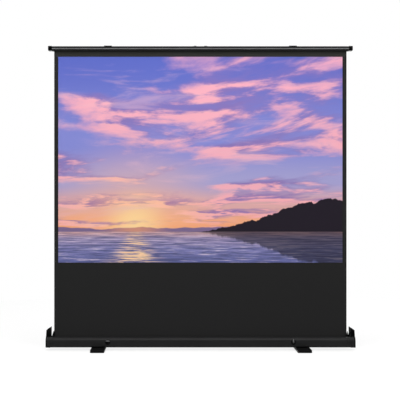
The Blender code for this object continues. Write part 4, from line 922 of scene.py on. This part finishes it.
for word, side in (("left", -1), ("right", 1)):
    low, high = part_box(f"top_bar_cap_{word}")
    outer = high.x if side > 0 else low.x
    inner = outer - side * BAR_CAP_REACH
    near, far = sorted((inner, outer))
    low, high = Vector((near, low.y, low.z)), Vector((far, high.y, high.z))
    size, middle = high - low, (low + high) / 2
    cap = rounded_block(low, high, 0, BAR_CAP_CORNER, 8)
    round_off(cap, rim_edges(cap, 0, outer), BAR_CAP_EDGE, 6)
    mouth = max((f for f in cap.faces if f.normal.x * side < -0.99), key=lambda f: f.calc_area())
    bmesh.ops.inset_individual(cap, faces=[mouth], thickness=MOUTH_INSET)
    here = mouth.calc_center_median()
    wanted = Vector((inner, sum(TONGUE_Y) / 2, sum(TONGUE_Z) / 2))
    shrink = Matrix.Diagonal((
        1, (TONGUE_Y[1] - TONGUE_Y[0]) / (size.y - 2 * MOUTH_INSET),
        (TONGUE_Z[1] - TONGUE_Z[0]) / (size.z - 2 * MOUTH_INSET), 1,
    ))
    place = Matrix.Translation(wanted) @ shrink @ Matrix.Translation(-here)
    bmesh.ops.transform(cap, matrix=place, verts=mouth.verts[:])
    tongue = bmesh.ops.extrude_face_region(cap, geom=[mouth])["geom"]
    bmesh.ops.delete(cap, geom=[mouth], context="FACES_ONLY")
    tip = [item for item in tongue if isinstance(item, bmesh.types.BMVert)]
    bmesh.ops.translate(cap, verts=tip, vec=(-side * TONGUE_REACH, 0, 0))
    bmesh.ops.recalc_face_normals(cap, faces=cap.faces)
    moulding = finished(f"bar_end_{word}", cap, glossy_black, "lid")
    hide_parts(f"top_bar_cap_{word}")
    screw(
        f"bar_end_screw_{word}", (outer, middle.y, middle.z), (side, 0, 0),
        blackened_steel, "lid",
    )


# Hasps. Two slotted plates hinged along the bar's front edge, lying back on the bar. Folded down
# over a closed screen, each takes one of the turn buttons through its slot.

HASP_EASE = 0.0003

for word in ("left", "right"):
    with_eased_edges(
        f"hinge_leaf_{word}", f"hasp_hinge_{word}", black_anodising,
        "lid", HASP_EASE,
    )
    with_eased_edges(
        f"slotted_hasp_{word}", f"hasp_{word}", black_anodising,
        f"{word}_hasp", HASP_EASE,
    )


# Turn buttons. Mouldings on the housing's front: a round glossy black boss cut to the curve, and on
# it a dark grey oval grip that turns a quarter to lock the hasp. The grip's grey is lighter than
# the moulding's own, a painted highlight on its face. The boss is a black moulding, made darker
# than the housing partly as painted shade round the grip.

BUTTON_EASE = 0.0004

# Grey lighter than the grip's own dark moulding: a painted highlight across the grip's face.
grip_grey = grain_finish(
    "grip_grey", (0.030, 0.030, 0.031), (0.044, 0.044, 0.045), (0.34, 0.46), 0.0006, depth=0.00003,
)
for word in ("left", "right"):
    with_eased_edges(
        f"button_boss_{word}", f"button_base_{word}", glossy_black,
        "base", BUTTON_EASE,
    )
    with_eased_edges(
        f"button_grip_{word}", f"turn_button_{word}", grip_grey,
        f"{word}_button", BUTTON_EASE,
    )


# Carrying handle. A zinc-plated wire bail with a ribbed rubber grip, lying back on the bar between
# two moulded clips.

BAIL_RADIUS = 0.002
BAIL_BEND = 0.006
BAIL_INNER = 0.0285
BAIL_OUTER = 0.054
BAIL_REACH = 0.030
BAIL_SMOOTHNESS = 5
BEND_STEPS = 8
SADDLE_EASE = 0.0003
GRIP_CORNER = 0.0028
GRIP_RIBS = 10
GRIP_SHARP = 60
RIB_HEIGHT = 0.0006

for word in ("left", "right"):
    with_eased_edges(
        f"handle_saddle_{word}", f"handle_clip_{word}", glossy_black,
        "lid", SADDLE_EASE,
    )

hinge = next(j for j in frame["joints"] if j["name"] == "handle_hinge")["pos_m"]
bail_half = [(BAIL_INNER, 0)]
for corner_y, start in ((BAIL_BEND, -90), (BAIL_REACH - BAIL_BEND, 0)):
    for step in range(BEND_STEPS + 1):
        turn = math.radians(start + step * 90 / BEND_STEPS)
        x = BAIL_OUTER - BAIL_BEND + BAIL_BEND * math.cos(turn)
        bail_half.append((x, corner_y + BAIL_BEND * math.sin(turn)))
bail_line = [
    (hinge[0] + x, hinge[1] + y, hinge[2])
    for x, y in bail_half + [(-x, y) for x, y in reversed(bail_half)]
]
wire_bail = finished(
    "wire_bail", round_wire(bail_line, BAIL_RADIUS, BAIL_SMOOTHNESS),
    zinc_plating, "handle", WIRE_SHARP,
)
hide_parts("handle_bail")

low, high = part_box("handle_grip")
size, middle = high - low, (low + high) / 2
grip = rounded_block(low, high, 0, GRIP_CORNER, 6)
cuts = 4 * GRIP_RIBS
for number in range(1, cuts):
    slice_through(grip, (low.x + size.x * number / cuts, 0, 0), (1, 0, 0))
for vert in grip.verts:
    share = (vert.co.x - low.x) / size.x * GRIP_RIBS
    groove = 0.5 - 0.5 * math.cos(math.tau * share)
    away = Vector((0, vert.co.y - middle.y, vert.co.z - middle.z))
    vert.co -= away.normalized() * RIB_HEIGHT * (1 - groove)
bmesh.ops.recalc_face_normals(grip, faces=grip.faces)
ribbed_grip = finished("ribbed_grip", grip, sole_rubber, "handle", GRIP_SHARP)
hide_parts("handle_grip")


# Where it stands: a white floor under large soft lamps, against plain white, seen from a little
# below half its height and from slightly left of its middle.

FLOOR_RADIUS = 4.5
FLOOR_DROP = 0.0004
FLOOR_GREY = 0.28
FLOOR_WHITE = 0.75
FILL_LIGHT = 0.42
DARK_ROOM = (-0.85, 0.0)
DARK_ROOM_LEVEL = 0.10
CAMERA_AT = (-0.23, -8.3, 1.071)
CAMERA_LENS = 104.5
CAMERA_SHIFT = 0.0795

ground = bmesh.new()
bmesh.ops.create_circle(ground, cap_ends=True, segments=96, radius=FLOOR_RADIUS)
bmesh.ops.translate(ground, verts=ground.verts, vec=(0, 0, -FLOOR_DROP))
ground_mesh = bpy.data.meshes.new("studio_floor")
ground.to_mesh(ground_mesh)
ground.free()
studio_floor = bpy.data.objects.new("studio_floor", ground_mesh)
bpy.context.scene.collection.objects.link(studio_floor)
floor_white = bpy.data.materials.new("floor_white")
floor_white.use_nodes = True
nodes, links = floor_white.node_tree.nodes, floor_white.node_tree.links
nodes.remove(nodes["Principled BSDF"])
paper = nodes.new("ShaderNodeBsdfDiffuse")
seen = nodes.new("ShaderNodeEmission")
rays = nodes.new("ShaderNodeLightPath")
paper.inputs["Color"].default_value = (FLOOR_GREY, FLOOR_GREY, FLOOR_GREY, 1)
tree = floor_white.node_tree
direct = arithmetic(
    tree, "MAXIMUM", rays.outputs["Is Camera Ray"], rays.outputs["Is Transmission Ray"],
)
seen_at_all = arithmetic(tree, "MAXIMUM", direct, rays.outputs["Is Glossy Ray"])
links.new(arithmetic(tree, "MULTIPLY", seen_at_all, FLOOR_WHITE), seen.inputs["Strength"])
paper_and_white = nodes.new("ShaderNodeAddShader")
links.new(paper.outputs[0], paper_and_white.inputs[0])
links.new(seen.outputs[0], paper_and_white.inputs[1])
links.new(paper_and_white.outputs[0], nodes["Material Output"].inputs["Surface"])
ground_mesh.materials.append(floor_white)

studio = bpy.data.worlds.new("studio")
studio.use_nodes = True
nodes, links = studio.node_tree.nodes, studio.node_tree.links
air = nodes["Background"]
air.inputs["Color"].default_value = (1, 1, 1, 1)
rays = nodes.new("ShaderNodeLightPath")
direction = nodes.new("ShaderNodeTexCoord")
parts = nodes.new("ShaderNodeSeparateXYZ")
links.new(direction.outputs["Generated"], parts.inputs[0])
dark_room = nodes.new("ShaderNodeMapRange")
dark_room.interpolation_type = "SMOOTHSTEP"
dark_room.inputs["From Min"].default_value = DARK_ROOM[0]
dark_room.inputs["From Max"].default_value = DARK_ROOM[1]
dark_room.inputs["To Min"].default_value = DARK_ROOM_LEVEL
dark_room.inputs["To Max"].default_value = 1.0
links.new(parts.outputs[1], dark_room.inputs["Value"])
direct = arithmetic(
    studio.node_tree, "MAXIMUM",
    rays.outputs["Is Camera Ray"], rays.outputs["Is Transmission Ray"],
)
with_gloss = nodes.new("ShaderNodeMix")
links.new(rays.outputs["Is Glossy Ray"], with_gloss.inputs["Factor"])
fill = nodes.new("ShaderNodeMix")
links.new(direct, fill.inputs["Factor"])
fill.inputs["A"].default_value = FILL_LIGHT
fill.inputs["B"].default_value = 1.0
links.new(fill.outputs["Result"], with_gloss.inputs["A"])
links.new(dark_room.outputs["Result"], with_gloss.inputs["B"])
links.new(with_gloss.outputs["Result"], air.inputs["Strength"])
bpy.context.scene.world = studio

for name, spot, aim, size, power in (
    ("left_softbox", (-4.2, -6.2, 4.4), (0, 0, 1.1), (3.0, 3.0), 138),
    ("right_softbox", (4.2, -6.2, 4.0), (0, 0, 1.1), (3.0, 3.0), 122),
    ("overhead_softbox", (0, -1.6, 4.6), (0, 0, 0), (5.0, 2.4), 150),
    ("rear_softbox", (1.5, 6.5, 4.2), (0, 0, 1.0), (4.0, 3.0), 160),
):
    lamp = bpy.data.lights.new(name, "AREA")
    lamp.shape = "RECTANGLE"
    lamp.size, lamp.size_y = size
    lamp.energy = power
    lamp_object = bpy.data.objects.new(name, lamp)
    lamp_object.location = spot
    lamp_object.rotation_euler = (Vector(aim) - Vector(spot)).to_track_quat("-Z", "Y").to_euler()
    bpy.context.scene.collection.objects.link(lamp_object)

camera = bpy.data.cameras.new("camera")
camera.lens = CAMERA_LENS
camera.sensor_width = 36
camera.shift_x = CAMERA_SHIFT
camera.clip_end = 100
camera_object = bpy.data.objects.new("camera", camera)
camera_object.location = CAMERA_AT
camera_object.rotation_euler = (math.pi / 2, 0, 0)
bpy.context.scene.collection.objects.link(camera_object)
bpy.context.scene.camera = camera_object
bpy.context.scene.view_settings.view_transform = "Standard"

bpy.context.view_layer.update()
